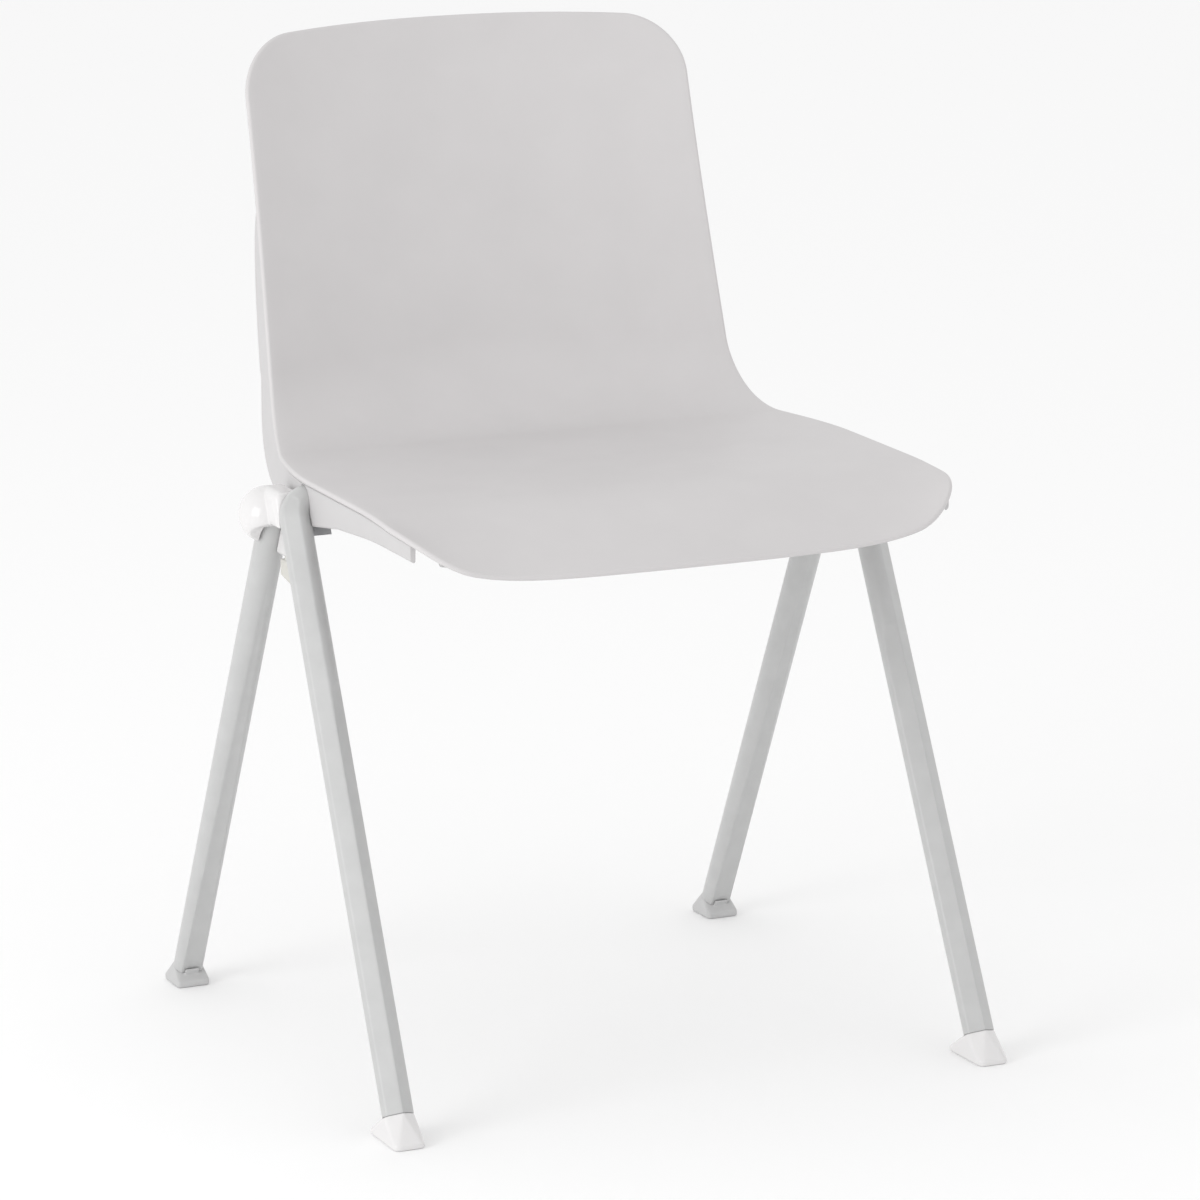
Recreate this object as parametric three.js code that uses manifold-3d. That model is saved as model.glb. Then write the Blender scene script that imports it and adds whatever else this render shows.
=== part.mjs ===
// Stacking chair with a moulded shell on two A-shaped tube frames.
// Millimetres. +Z is up, the chair faces -Y, X = 0 is its plane of symmetry, Z = 0 is the floor.
import * as THREE from 'three';
import { mergeVertices } from 'three/addons/utils/BufferGeometryUtils.js';
import { ConvexGeometry } from 'three/addons/geometries/ConvexGeometry.js';
import Module from 'manifold-3d';

const wasm = await Module();
wasm.setup();

// ---- Driving dimensions -------------------------------------------------------------------

const GAP = 0.3; // left between pieces that touch

// Side frames. Both leg axes of a side are drawn in the plane X = LEG_X and aim at one apex point.
// The finished frame then leans inward: LEAN for each millimetre up, TAPER for each one to the rear.
const LEG_X = 244;
const LEAN = 0.0088;
const TAPER = 0.01;
const FRONT_FOOT_Y = -242;
const REAR_FOOT_Y = 246;
const APEX_Y = -10;
const APEX_Z = 477;
const LEG_R = 12;
const LEG_WALL = 1.5;
const BORE_R = LEG_R - LEG_WALL - GAP; // radius of what fits inside a leg tube
const BEND_R = 15; // centre line of the front leg's inward bend
const FLAT_ANGLE = 34; // degrees either side of straight ahead; the front leg's two flats meet in a ridge
const FLAT_CUT = 1.9;
const FLAT_TURN = 0.5; // share of the bend over which the outboard flat runs out
const INNER_FLAT_TOP_Z = 315;
const INNER_FLAT_RUNOUT = 60;
const CHANNEL_TOP_Z = 385; // the rear leg's channel widens from here down to the foot
const CHANNEL_HALF = 44; // degrees of the section at the foot
const CHANNEL_HOLLOW = 0.8; // how far its floor lies below a flat
const LEG_SIDES = 36;

// Cross tubes under the seat.
const CROSS_R = BORE_R;
const CROSS_WALL = 1.5;
const FRONT_TUBE_Z = 448.5;
const FRONT_LEG_END_X = 196; // where the bent top of each front leg ends under the seat
const SOCKET_DEPTH = 14; // how far the front cross tube goes into each front leg

// Hub: a white knuckle made of a ball, a neck to the front leg and a web in the crotch between
// the legs, with a metal core inside it.
const HUB_Z = 434;
const BALL = { r: 22.3, x: LEG_X + 5, y: 18, z: 431.5 };
const COVER_INNER_X = LEG_X - 8.4; // the cover's flat inner face, just outboard of the side rail
const NECK = { outer: LEG_X + 12, low: 425, high: 453.5, bevel: 7 };
const WEB = { outer: LEG_X - 1, low: 401, bevel: 3.5 };
const HUB_FRONT_SETBACK = 5; // behind the front leg's axis
const HUB_REACH = 3 * BALL.r; // from the ball's middle past every other part of the cover
// The rear leg is bare ahead of the slot's lip, which follows the leg up and then arches forward.
const SLOT = { back: -8, turnZ: 408, topY: -12, topZ: 428 };
const CORE_R = 12;
const CORE_OUTER_X = LEG_X - LEG_R - GAP;
const CORE_INNER_X = 216;
const CORE_SETBACK = 2;
const SPIGOT_LENGTH = 14;
const BUMPER = { x: COVER_INNER_X + 3.8, front: -11, back: 10, thick: 5, low: 381, slope: 4 };
const BUMPER_STEM = { front: -7, back: 3, thick: 3, top: 418 };

// Feet.
const FRONT_CAP_LENGTH = 22; // along the leg
const REAR_CAP_LENGTH = 17;
const PLUG_LENGTH = 26;
const PLUG_ROOT = 4; // how far the plug reaches down into the cap
const PLUG_CHAMFER = 1;
const TONGUE = { halfX: 6.5, crownHalfX: 5.2, inner: 9.1, outer: 10.6, height: 5 };
const FRONT_SOLE = { halfX: 12.5, front: -16, back: 38, corner: 5, lip: 4 };
const REAR_SOLE = { halfX: 14, front: -22, back: 12, corner: 3, lip: 5 };

// Seat shell. "Edge" is the line of the rim seen from the side, "centre" the line at X = 0.
const SHELL_THICK = 4.5;
const SEAT_FRONT_Y = -246;
const FRONT_HALF = 230.8;
const FRONT_CORNER_R = 50;
const REAR_HALF = 217; // where the seat meets the bend
const REAR_NARROWING = 95; // over this distance ahead of the bend the seat narrows to it
const BEND_NARROWING = 1.5; // power with which the bend narrows to the back
const BACK_LOW_HALF = 198;
const TOP_HALF = 190.5;
const TOP_CORNER_R = 46;
const EDGE = { seatZ: 466.7, seatSlope: 0.022, backY: -16.2, lean: 0.267, radius: 72, topZ: 775 };
const CENTRE = { seatZ: 464.3, seatSlope: 0.012, backY: 3.1, lean: 0.28, radius: 92, topZ: 783 };
const DISH_POWER = 2.2;
const FRONT_BOW = 12; // the front edge's middle stands this far ahead of its corners
const FRONT_BOW_REACH = 95;
const LIP_DROP = 41; // fall of the seat surface towards the middle of the front edge
const LIP_REACH = 105;
const LIP_FADE_HALF = 238; // the fall fades to nothing at this distance from the middle
const LIP_FADE_POWER = 6;

// Side rails, front rib and fixings under the shell.
const RAIL_INSET = 2; // from the shell's rim
const RAIL_WALL = 4;
const RAIL_FRONT_Y = -222;
const RAIL_KNEE_Y = -92; // a gentle taper ahead of this, a steeper one behind it
const RAIL_DEEP_Y = -42; // full depth behind this
const RAIL_TOP_Z = 648;
const RAIL_DEPTH_FRONT = 12;
const RAIL_DEPTH_KNEE = 22;
const RAIL_DEPTH_MIDDLE = 30;
const RAIL_DEPTH_BACK = 24;
const RAIL_HEEL = 12; // extra depth round the outside of the bend
const RAIL_HEEL_POWER = 1.5;
const RAIL_CLEARANCE = 0.8; // between the rail's upper edge and the shell
const BLOCK = { inner: 166, front: -46, back: 38, low: 434.4, top: 460.2 };
const CLAMP = { inner: 186, outer: 205, half: 20, low: 421.5 };
const CLAMP_SCREW_OFFSET = 15; // either side of the rear cross tube
const SHELL_SCREW_X = 184;
const SHELL_SCREW_Y = [-160, -80, 62];
const RIB_Y = -222;
const RIB_HALF = 198;
const RIB_THICK = 6;
const RIB_DEPTH = 9;
const RIB_SCREW_X = 120;
const RIB_SCREW_SETBACK = 16;
const BOSS_R = 6;
const BOSS_DEPTH = 8;
const BOSS_EMBED = 1; // how far a boss runs up into the shell
const TAB_THICK = 3;
const RAIL_TAB = { halfLength: 11, inner: 9 }; // round a shell screw
const RIB_TAB = { halfWidth: 11, beyond: 10 }; // round a rib screw
const SCREW = { headR: 4, headH: 2.4, shankR: 1.7, length: 9 };
const CLAMP_SCREW = { headR: 4.4, headH: 2.2, shankR: 2, length: 24 };

// ---- Small helpers ------------------------------------------------------------------------

const rad = THREE.MathUtils.degToRad;
const lerp = THREE.MathUtils.lerp;
const vec = (x, y, z) => new THREE.Vector3(x, y, z);
const X_AXIS = vec(1, 0, 0);
const OVERSHOOT = 1; // how far a cutting tool runs past what it cuts
const WELD_DISTANCE = 1e-4; // points closer than this are one

const along = (start, direction, distance) => start.clone().addScaledVector(direction, distance);

// A closed triangle mesh from points and index triples, turned to face outward.
function closedGeometry(points, triangles) {
  let volume = 0;
  for (const [a, b, c] of triangles) {
    volume += points[a].dot(points[b].clone().cross(points[c]));
  }
  const faces = volume < 0 ? triangles.map(([a, b, c]) => [a, c, b]) : triangles;
  const geometry = new THREE.BufferGeometry().setFromPoints(points);
  geometry.setIndex(faces.flat());
  return geometry;
}

function quad(triangles, a, b, c, d) {
  triangles.push([a, b, c], [a, c, d]);
}

// Joins each ring to the next. A looped loft joins its last ring to its first, as a tube wall does.
// An open loft is capped at both ends with a fan.
function loft(rings, looped = false) {
  const size = rings[0].length;
  const points = rings.flat();
  const triangles = [];
  const spans = looped ? rings.length : rings.length - 1;
  for (let i = 0; i < spans; i += 1) {
    const here = i * size;
    const next = ((i + 1) % rings.length) * size;
    for (let j = 0; j < size; j += 1) {
      const k = (j + 1) % size;
      quad(triangles, here + j, here + k, next + k, next + j);
    }
  }
  if (!looped) {
    addFan(points, triangles, 0, size, true);
    addFan(points, triangles, (rings.length - 1) * size, size, false);
  }
  return closedGeometry(points, triangles);
}

function addFan(points, triangles, first, size, reversed) {
  const middle = vec(0, 0, 0);
  for (let j = 0; j < size; j += 1) middle.add(points[first + j]);
  middle.divideScalar(size);
  const hub = points.push(middle) - 1;
  for (let j = 0; j < size; j += 1) {
    const a = first + j;
    const b = first + ((j + 1) % size);
    triangles.push(reversed ? [hub, b, a] : [hub, a, b]);
  }
}

function toManifold(geometry) {
  const bare = geometry.clone();
  bare.deleteAttribute('normal');
  bare.deleteAttribute('uv');
  const merged = mergeVertices(bare, WELD_DISTANCE);
  const index = [];
  for (let i = 0; i < merged.index.count; i += 3) {
    const [a, b, c] = [0, 1, 2].map((k) => merged.index.getX(i + k));
    if (a !== b && b !== c && c !== a) index.push(a, b, c);
  }
  const mesh = new wasm.Mesh({
    numProp: 3,
    vertProperties: new Float32Array(merged.attributes.position.array),
    triVerts: new Uint32Array(index),
  });
  return new wasm.Manifold(mesh);
}

function toGeometry(manifold) {
  const mesh = manifold.getMesh();
  const geometry = new THREE.BufferGeometry();
  geometry.setAttribute('position', new THREE.BufferAttribute(mesh.vertProperties, 3));
  geometry.setIndex(new THREE.BufferAttribute(mesh.triVerts, 1));
  return geometry;
}

const box = (x0, x1, y0, y1, z0, z1) => new THREE.BoxGeometry(x1 - x0, y1 - y0, z1 - z0)
  .translate((x0 + x1) / 2, (y0 + y1) / 2, (z0 + z1) / 2);

// A rod whose axis lies along X or stands along Z.
const ROD_SIDES = { alongX: 24, upright: 16 };
const rodX = (radius, x0, x1, y, z) => new THREE.CylinderGeometry(radius, radius, x1 - x0, ROD_SIDES.alongX)
  .rotateZ(Math.PI / 2).translate((x0 + x1) / 2, y, z);
const rodZ = (radius, z0, z1, x, y) => new THREE.CylinderGeometry(radius, radius, z1 - z0, ROD_SIDES.upright)
  .rotateX(Math.PI / 2).translate(x, y, (z0 + z1) / 2);

// Every side piece is modelled on the +X side; the other side is its mirror image.
function mirrored(geometry) {
  const copy = geometry.clone().scale(-1, 1, 1);
  const index = Array.from(copy.index.array);
  for (let i = 0; i < index.length; i += 3) {
    [index[i + 1], index[i + 2]] = [index[i + 2], index[i + 1]];
  }
  copy.setIndex(index);
  return copy;
}

const frameLean = new THREE.Matrix4().set(
  1, -TAPER, -LEAN, TAPER * FRONT_FOOT_Y,
  0, 1, 0, 0,
  0, 0, 1, 0,
  0, 0, 0, 1,
);
const leaned = (geometry) => geometry.clone().applyMatrix4(frameLean);
const leanedX = (x, y, z) => vec(x, y, z).applyMatrix4(frameLean).x;

// ---- Leg axes -----------------------------------------------------------------------------

function legAxis(footY) {
  const foot = vec(LEG_X, footY, 0);
  const direction = vec(0, APEX_Y - footY, APEX_Z).normalize();
  return { foot, direction, ahead: vec(0, -direction.z, direction.y) };
}

const FRONT = legAxis(FRONT_FOOT_Y);
const REAR = legAxis(REAR_FOOT_Y);
const axisPoint = (leg, z) => along(leg.foot, leg.direction, z / leg.direction.z);
const FRONT_TUBE_Y = axisPoint(FRONT, FRONT_TUBE_Z).y;
const HUB_Y = axisPoint(REAR, HUB_Z).y;

// ---- Leg sections: radius as a function of the angle from the outward side ----------------

const roundSection = (radius) => () => radius;

// Front leg: a flat outboard of straight ahead and one inboard, each pressed in by its own share.
function flatsSection(radius, outboard = 1, inboard = 1) {
  const flats = [[90 - FLAT_ANGLE, outboard], [90 + FLAT_ANGLE, inboard]];
  return (angle) => Math.min(radius, ...flats.map(([centre, share]) => {
    const off = Math.cos(angle - rad(centre));
    return off > 0 ? (radius - FLAT_CUT * share) / off : radius;
  }));
}

// Rear leg: a shallow channel that faces straight ahead, by its share of the full width.
function channelSection(radius, share = 1) {
  const half = rad(CHANNEL_HALF) * share;
  const flat = LEG_R * Math.cos(half) - (LEG_R - radius);
  return (angle) => {
    const off = angle - Math.PI / 2;
    const chord = Math.cos(off) > 0 ? Math.min(radius, flat / Math.cos(off)) : radius;
    return share > 0 ? chord - CHANNEL_HOLLOW * share * Math.max(0, 1 - (off / half) ** 2) : radius;
  };
}

function sectionRing(centre, side, ahead, radiusAt) {
  return Array.from({ length: LEG_SIDES }, (_, i) => {
    const angle = (i / LEG_SIDES) * 2 * Math.PI;
    const radius = radiusAt(angle);
    return centre.clone()
      .addScaledVector(side, radius * Math.cos(angle))
      .addScaledVector(ahead, radius * Math.sin(angle));
  });
}

// ---- Front leg: straight tube, then a quarter bend towards the middle ----------------------

const BEND_STEPS = 8;
const ENVELOPE_START = 300; // along the leg, well below everything it has to clear
const BEND_START = (FRONT_TUBE_Z - BEND_R * FRONT.direction.z) / FRONT.direction.z;

function frontLegRings(radius, pressed, start, endX) {
  const rings = [];
  const innerEnd = INNER_FLAT_TOP_Z / FRONT.direction.z;
  const straight = pressed
    ? [[start, 1, 1], [innerEnd - INNER_FLAT_RUNOUT, 1, 1], [innerEnd, 1, 0]]
    : [[start, 0, 0]];
  for (const [distance, outboard, inboard] of straight) {
    const section = flatsSection(radius, outboard, inboard);
    const centre = along(FRONT.foot, FRONT.direction, distance);
    rings.push(sectionRing(centre, X_AXIS, FRONT.ahead, section));
  }
  const corner = along(FRONT.foot, FRONT.direction, BEND_START).addScaledVector(X_AXIS, -BEND_R);
  for (let i = 0; i <= BEND_STEPS; i += 1) {
    const turn = (i / BEND_STEPS) * Math.PI / 2;
    const side = X_AXIS.clone().multiplyScalar(Math.cos(turn))
      .addScaledVector(FRONT.direction, Math.sin(turn));
    const outboard = pressed ? Math.max(0, 1 - i / (FLAT_TURN * BEND_STEPS)) : 0;
    const section = flatsSection(radius, outboard, 0);
    rings.push(sectionRing(along(corner, side, BEND_R), side, FRONT.ahead, section));
  }
  const end = vec(endX, FRONT_TUBE_Y, FRONT_TUBE_Z);
  rings.push(sectionRing(end, FRONT.direction, FRONT.ahead, roundSection(radius)));
  return rings;
}

function frontLeg() {
  const outer = frontLegRings(LEG_R, true, FRONT_CAP_LENGTH + GAP, FRONT_LEG_END_X);
  const inner = frontLegRings(LEG_R - LEG_WALL, true, FRONT_CAP_LENGTH + GAP, FRONT_LEG_END_X);
  return loft([...outer, ...inner.reverse()], true);
}

const frontLegEnvelope = () => (
  loft(frontLegRings(LEG_R + GAP, false, ENVELOPE_START, FRONT_LEG_END_X - GAP))
);

// ---- Rear leg: straight tube whose top is rounded off in side view ------------------------

const CHANNEL_STEPS = 5; // sections over which the channel narrows away

function rearLegTube(radiusOuter, radiusInner) {
  const start = REAR_CAP_LENGTH + GAP;
  const channelEnd = CHANNEL_TOP_Z / REAR.direction.z;
  const beyond = (HUB_Z + 2 * LEG_R) / REAR.direction.z;
  const stations = Array.from({ length: CHANNEL_STEPS + 1 }, (_, i) => {
    const share = 1 - i / CHANNEL_STEPS;
    return [lerp(channelEnd, start, share), share];
  });
  stations.push([beyond, 0]);
  const rings = (radius) => stations.map(([distance, share]) => sectionRing(
    along(REAR.foot, REAR.direction, distance), X_AXIS, REAR.ahead, channelSection(radius, share),
  ));
  return loft([...rings(radiusOuter), ...rings(radiusInner).reverse()], true);
}

// The region of the leg's channel: everything below the rounded top, as wide as the given radius.
function rearLegChannel(radius, x0, x1) {
  const top = rodX(radius, x0, x1, HUB_Y, HUB_Z);
  const length = 2 * HUB_Z;
  const shaft = new THREE.BoxGeometry(x1 - x0, 2 * radius, length)
    .translate((x0 + x1) / 2, 0, -length / 2)
    .rotateX(Math.atan2(REAR_FOOT_Y - APEX_Y, APEX_Z))
    .translate(0, HUB_Y, HUB_Z);
  return toManifold(top).add(toManifold(shaft));
}

function rearLeg() {
  const tube = toManifold(rearLegTube(LEG_R, LEG_R - LEG_WALL));
  const keep = rearLegChannel(LEG_R, LEG_X - 2 * LEG_R, LEG_X + 2 * LEG_R);
  return toGeometry(tube.intersect(keep));
}

// ---- Cross tubes --------------------------------------------------------------------------

function crossTube(halfLength, y, z) {
  const ring = (x, radius) => (
    sectionRing(vec(x, y, z), vec(0, 1, 0), vec(0, 0, 1), roundSection(radius))
  );
  const outer = [ring(-halfLength, CROSS_R), ring(halfLength, CROSS_R)];
  const inner = [ring(halfLength, CROSS_R - CROSS_WALL), ring(-halfLength, CROSS_R - CROSS_WALL)];
  return loft([...outer, ...inner], true);
}

const frontCrossTube = () => {
  const legEnd = leanedX(FRONT_LEG_END_X, FRONT_TUBE_Y, FRONT_TUBE_Z);
  return crossTube(legEnd + SOCKET_DEPTH, FRONT_TUBE_Y, FRONT_TUBE_Z);
};
const rearCrossTube = () => {
  const coreEnd = leanedX(CORE_INNER_X, HUB_Y, HUB_Z - CORE_R);
  return crossTube(coreEnd - 2 * GAP, HUB_Y, HUB_Z);
};

// ---- Hub ----------------------------------------------------------------------------------

// Side outline: a half round of the given radius behind, run forward to the front leg.
function hubOutline(radius, setback, y = HUB_Y, z = HUB_Z) {
  const behind = (height) => axisPoint(FRONT, height).y + setback / FRONT.direction.z;
  const shape = new THREE.Shape();
  shape.moveTo(behind(z - radius), z - radius);
  shape.lineTo(y, z - radius);
  shape.absarc(y, z, radius, -Math.PI / 2, Math.PI / 2, false);
  shape.lineTo(behind(z + radius), z + radius);
  shape.closePath();
  return shape;
}

const EXTRUSION = { bevelSegments: 4, curveSegments: 14 };

// Extrudes a side outline (drawn in Y and Z) from x0 to x1, with rounded long edges.
function extrudeSide(shape, x0, x1, bevel = 0) {
  const options = {
    depth: x1 - x0 - 2 * bevel,
    bevelEnabled: bevel > 0,
    bevelThickness: bevel,
    bevelSize: bevel,
    bevelOffset: -bevel,
    ...EXTRUSION,
  };
  const turn = new THREE.Matrix4().makeBasis(vec(0, 1, 0), vec(0, 0, 1), X_AXIS);
  return new THREE.ExtrudeGeometry(shape, options).applyMatrix4(turn).translate(x0 + bevel, 0, 0);
}

function hubCore() {
  const body = toManifold(extrudeSide(hubOutline(CORE_R, CORE_SETBACK), CORE_INNER_X, CORE_OUTER_X));
  const spigotR = CROSS_R - CROSS_WALL - GAP;
  const spigot = rodX(spigotR, CORE_INNER_X - SPIGOT_LENGTH, CORE_INNER_X + OVERSHOOT, HUB_Y, HUB_Z);
  return toGeometry(body.add(toManifold(spigot)).subtract(toManifold(frontLegEnvelope())));
}

const hubCoreEnvelope = () => (
  extrudeSide(hubOutline(CORE_R + GAP, CORE_SETBACK - LEG_R), CORE_INNER_X - GAP, CORE_OUTER_X + GAP)
);

function hubNeck() {
  const radius = (NECK.high - NECK.low) / 2;
  const outline = hubOutline(radius, HUB_FRONT_SETBACK, BALL.y, NECK.low + radius);
  return toManifold(extrudeSide(outline, COVER_INNER_X - NECK.bevel, NECK.outer, NECK.bevel));
}

// Fills the crotch from the rear leg's axis forward to the front leg.
function hubWeb() {
  const rear = (z) => axisPoint(REAR, z).y;
  const front = (z) => axisPoint(FRONT, z).y + HUB_FRONT_SETBACK;
  const { low, bevel, outer } = WEB;
  const high = BALL.z;
  const middle = (front(low) + rear(low)) / 2;
  const shape = new THREE.Shape();
  shape.moveTo(front(high), high);
  shape.lineTo(front(low + bevel), low + bevel);
  shape.quadraticCurveTo(middle, low - bevel, rear(low), low);
  shape.lineTo(rear(high), high);
  shape.closePath();
  return toManifold(extrudeSide(shape, COVER_INNER_X - bevel, outer, bevel));
}

// Bares the front of the rear leg: everything outboard of the web and ahead of the slot's lip.
function hubSlot() {
  const lip = (z) => axisPoint(REAR, z).y + SLOT.back;
  const ahead = BALL.y - HUB_REACH;
  const low = BALL.z - HUB_REACH;
  const shape = new THREE.Shape();
  shape.moveTo(lip(low), low);
  shape.lineTo(lip(SLOT.turnZ), SLOT.turnZ);
  shape.quadraticCurveTo(lip(SLOT.topZ), SLOT.topZ, SLOT.topY, SLOT.topZ);
  shape.lineTo(ahead, SLOT.topZ);
  shape.lineTo(ahead, low);
  shape.closePath();
  return toManifold(extrudeSide(shape, WEB.outer, BALL.x + HUB_REACH));
}

// The bumper's stem, or the pocket it stands in, which leaves room all round it.
const bumperStem = (room) => toManifold(box(
  BUMPER.x - BUMPER_STEM.thick / 2 - room, BUMPER.x + BUMPER_STEM.thick / 2 + room,
  BUMPER_STEM.front - room, BUMPER_STEM.back + room, BUMPER.low + BUMPER.slope, BUMPER_STEM.top + room,
));

const BALL_SEGMENTS = { around: 32, upright: 20 };

function hubCover() {
  const ball = new THREE.SphereGeometry(BALL.r, BALL_SEGMENTS.around, BALL_SEGMENTS.upright)
    .translate(BALL.x, BALL.y, BALL.z);
  const inboard = box(
    0, COVER_INNER_X, BALL.y - HUB_REACH, BALL.y + HUB_REACH, BALL.z - HUB_REACH, BALL.z + HUB_REACH,
  );
  const cover = toManifold(ball).add(hubNeck()).subtract(hubSlot()).add(hubWeb())
    .subtract(toManifold(inboard))
    .subtract(toManifold(frontLegEnvelope()))
    .subtract(rearLegChannel(LEG_R + GAP, LEG_X - LEG_R - GAP, LEG_X + LEG_R + GAP))
    .subtract(toManifold(hubCoreEnvelope()))
    .subtract(bumperStem(GAP));
  return toGeometry(cover);
}

function stackingBumper() {
  const { x, front, back, thick, low, slope } = BUMPER;
  const shoulder = WEB.low - WEB.bevel - GAP;
  const outline = [[front, low], [back, low + slope], [back, shoulder], [front, shoulder]];
  const shape = new THREE.Shape(outline.map(([y, z]) => new THREE.Vector2(y, z)));
  const plate = extrudeSide(shape, x - thick / 2, x + thick / 2);
  return toGeometry(toManifold(plate).add(bumperStem(0)));
}

// ---- Feet ---------------------------------------------------------------------------------

const SOLE_CORNER_STEPS = 4;

function soleOutline(leg, sole, z, shrink) {
  const points = [];
  const reach = sole.corner - shrink;
  const halfX = sole.halfX - sole.corner;
  const corners = [
    [halfX, sole.back - sole.corner, 0], [-halfX, sole.back - sole.corner, 90],
    [-halfX, sole.front + sole.corner, 180], [halfX, sole.front + sole.corner, 270],
  ];
  for (const [x, y, start] of corners) {
    for (let i = 0; i <= SOLE_CORNER_STEPS; i += 1) {
      const angle = rad(start + (i / SOLE_CORNER_STEPS) * 90);
      points.push(vec(LEG_X + x + reach * Math.cos(angle), leg.foot.y + y + reach * Math.sin(angle), z));
    }
  }
  return points;
}

// A cap that carries on the leg's section, spreads to its sole, and has a plug up inside the tube.
function foot(leg, capLength, sole, section) {
  const ring = (distance, radius) => sectionRing(
    along(leg.foot, leg.direction, distance), X_AXIS, leg.ahead, section(radius),
  );
  const body = new ConvexGeometry([
    ...ring(capLength, LEG_R),
    ...soleOutline(leg, sole, 0, 1),
    ...soleOutline(leg, sole, 1, 0),
    ...soleOutline(leg, sole, sole.lip, 0),
  ]);
  const plugTop = capLength + PLUG_LENGTH;
  const plug = loft([
    ring(capLength - PLUG_ROOT, BORE_R),
    ring(plugTop - PLUG_CHAMFER, BORE_R),
    ring(plugTop, BORE_R - PLUG_CHAMFER),
  ]);
  return toManifold(body).add(toManifold(plug));
}

// The rear foot's tongue stands up in the mouth of the leg's channel.
function footTongue() {
  const { halfX, crownHalfX, inner, outer, height } = TONGUE;
  const section = [[-halfX, inner], [halfX, inner], [crownHalfX, outer], [-crownHalfX, outer]];
  const points = [REAR_CAP_LENGTH - PLUG_ROOT, REAR_CAP_LENGTH + height].flatMap((distance) => {
    const centre = along(REAR.foot, REAR.direction, distance);
    return section.map(([x, ahead]) => (
      along(centre, REAR.ahead, ahead).addScaledVector(X_AXIS, x)
    ));
  });
  return toManifold(new ConvexGeometry(points));
}

const frontFoot = () => toGeometry(foot(FRONT, FRONT_CAP_LENGTH, FRONT_SOLE, flatsSection));
const rearFoot = () => (
  toGeometry(foot(REAR, REAR_CAP_LENGTH, REAR_SOLE, channelSection).add(footTongue()))
);

// ---- Seat shell: rows of points from the front edge, over the seat and up the back ---------

// A seat line and a back line seen from the side, joined by a fillet.
function sideLine({ seatZ, seatSlope, backY, lean, radius, topZ }) {
  const cornerZ = (seatZ + seatSlope * backY) / (1 - seatSlope * lean);
  const corner = new THREE.Vector2(backY + lean * cornerZ, cornerZ);
  const forward = new THREE.Vector2(-1, -seatSlope).normalize();
  const upward = new THREE.Vector2(lean, 1).normalize();
  const opening = Math.acos(forward.dot(upward));
  const tangent = radius / Math.tan(opening / 2);
  const seatEnd = corner.clone().addScaledVector(forward, tangent);
  const backStart = corner.clone().addScaledVector(upward, tangent);
  const centre = seatEnd.clone().add(new THREE.Vector2(forward.y, -forward.x).multiplyScalar(radius));
  const startAngle = Math.atan2(seatEnd.y - centre.y, seatEnd.x - centre.x);
  const turn = Math.PI - opening;
  const bendOut = (f) => (
    new THREE.Vector2(Math.cos(startAngle + turn * f), Math.sin(startAngle + turn * f))
  );
  return {
    seatEnd,
    backStart,
    seatAt: (y) => new THREE.Vector2(y, seatZ + seatSlope * y),
    bendAt: (f) => centre.clone().addScaledVector(bendOut(f), radius),
    bendOut,
    backAt: (f) => backStart.clone().lerp(new THREE.Vector2(backY + lean * topZ, topZ), f),
  };
}

const EDGE_LINE = sideLine(EDGE);
const CENTRE_LINE = sideLine(CENTRE);
const BACK_LENGTH = EDGE_LINE.backStart.distanceTo(EDGE_LINE.backAt(1));
const cornerHalf = (full, radius, distance) => (distance >= radius
  ? full : full - radius + Math.sqrt(radius ** 2 - (radius - distance) ** 2));

function seatFull(y) {
  const ahead = THREE.MathUtils.clamp((EDGE_LINE.seatEnd.x - y) / REAR_NARROWING, 0, 1);
  return lerp(REAR_HALF, FRONT_HALF, Math.sin(ahead * Math.PI / 2));
}

const seatHalf = (y) => cornerHalf(seatFull(y), FRONT_CORNER_R, y - SEAT_FRONT_Y);

// A row knows its half width with and without the rounded corners, the edge and centre points seen
// from the side, and the direction that points out of the shell's back or underside at the edge.
function seatRow(y) {
  const f = (y - SEAT_FRONT_Y) / (EDGE_LINE.seatEnd.x - SEAT_FRONT_Y);
  const centreY = lerp(SEAT_FRONT_Y, CENTRE_LINE.seatEnd.x, f);
  return {
    half: seatHalf(y),
    full: seatFull(y),
    edge: EDGE_LINE.seatAt(y),
    centre: CENTRE_LINE.seatAt(centreY),
    out: EDGE_LINE.bendOut(0),
    fromFront: y - SEAT_FRONT_Y,
  };
}

function bendRow(f) {
  const full = lerp(BACK_LOW_HALF, REAR_HALF, (1 - f) ** BEND_NARROWING);
  return {
    half: full,
    full,
    edge: EDGE_LINE.bendAt(f),
    centre: CENTRE_LINE.bendAt(f),
    out: EDGE_LINE.bendOut(f),
    fromFront: Infinity,
  };
}

function backRow(f) {
  const full = lerp(BACK_LOW_HALF, TOP_HALF, Math.sin(f * Math.PI / 2));
  return {
    half: cornerHalf(full, TOP_CORNER_R, (1 - f) * BACK_LENGTH),
    full,
    edge: EDGE_LINE.backAt(f),
    centre: CENTRE_LINE.backAt(f),
    out: EDGE_LINE.bendOut(1),
    fromFront: Infinity,
  };
}

function shellPoint(row, x) {
  const blend = Math.min(1, Math.abs(x) / row.full) ** DISH_POWER;
  const nearFront = (reach) => Math.max(0, 1 - row.fromFront / reach) ** 2;
  const bow = FRONT_BOW * (1 - (x / FRONT_HALF) ** 2) * nearFront(FRONT_BOW_REACH);
  const fade = 1 - (Math.abs(x) / LIP_FADE_HALF) ** LIP_FADE_POWER;
  const drop = LIP_DROP * fade * nearFront(LIP_REACH);
  return vec(
    x,
    lerp(row.centre.x, row.edge.x, blend) - bow,
    lerp(row.centre.y, row.edge.y, blend) - drop,
  );
}

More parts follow.
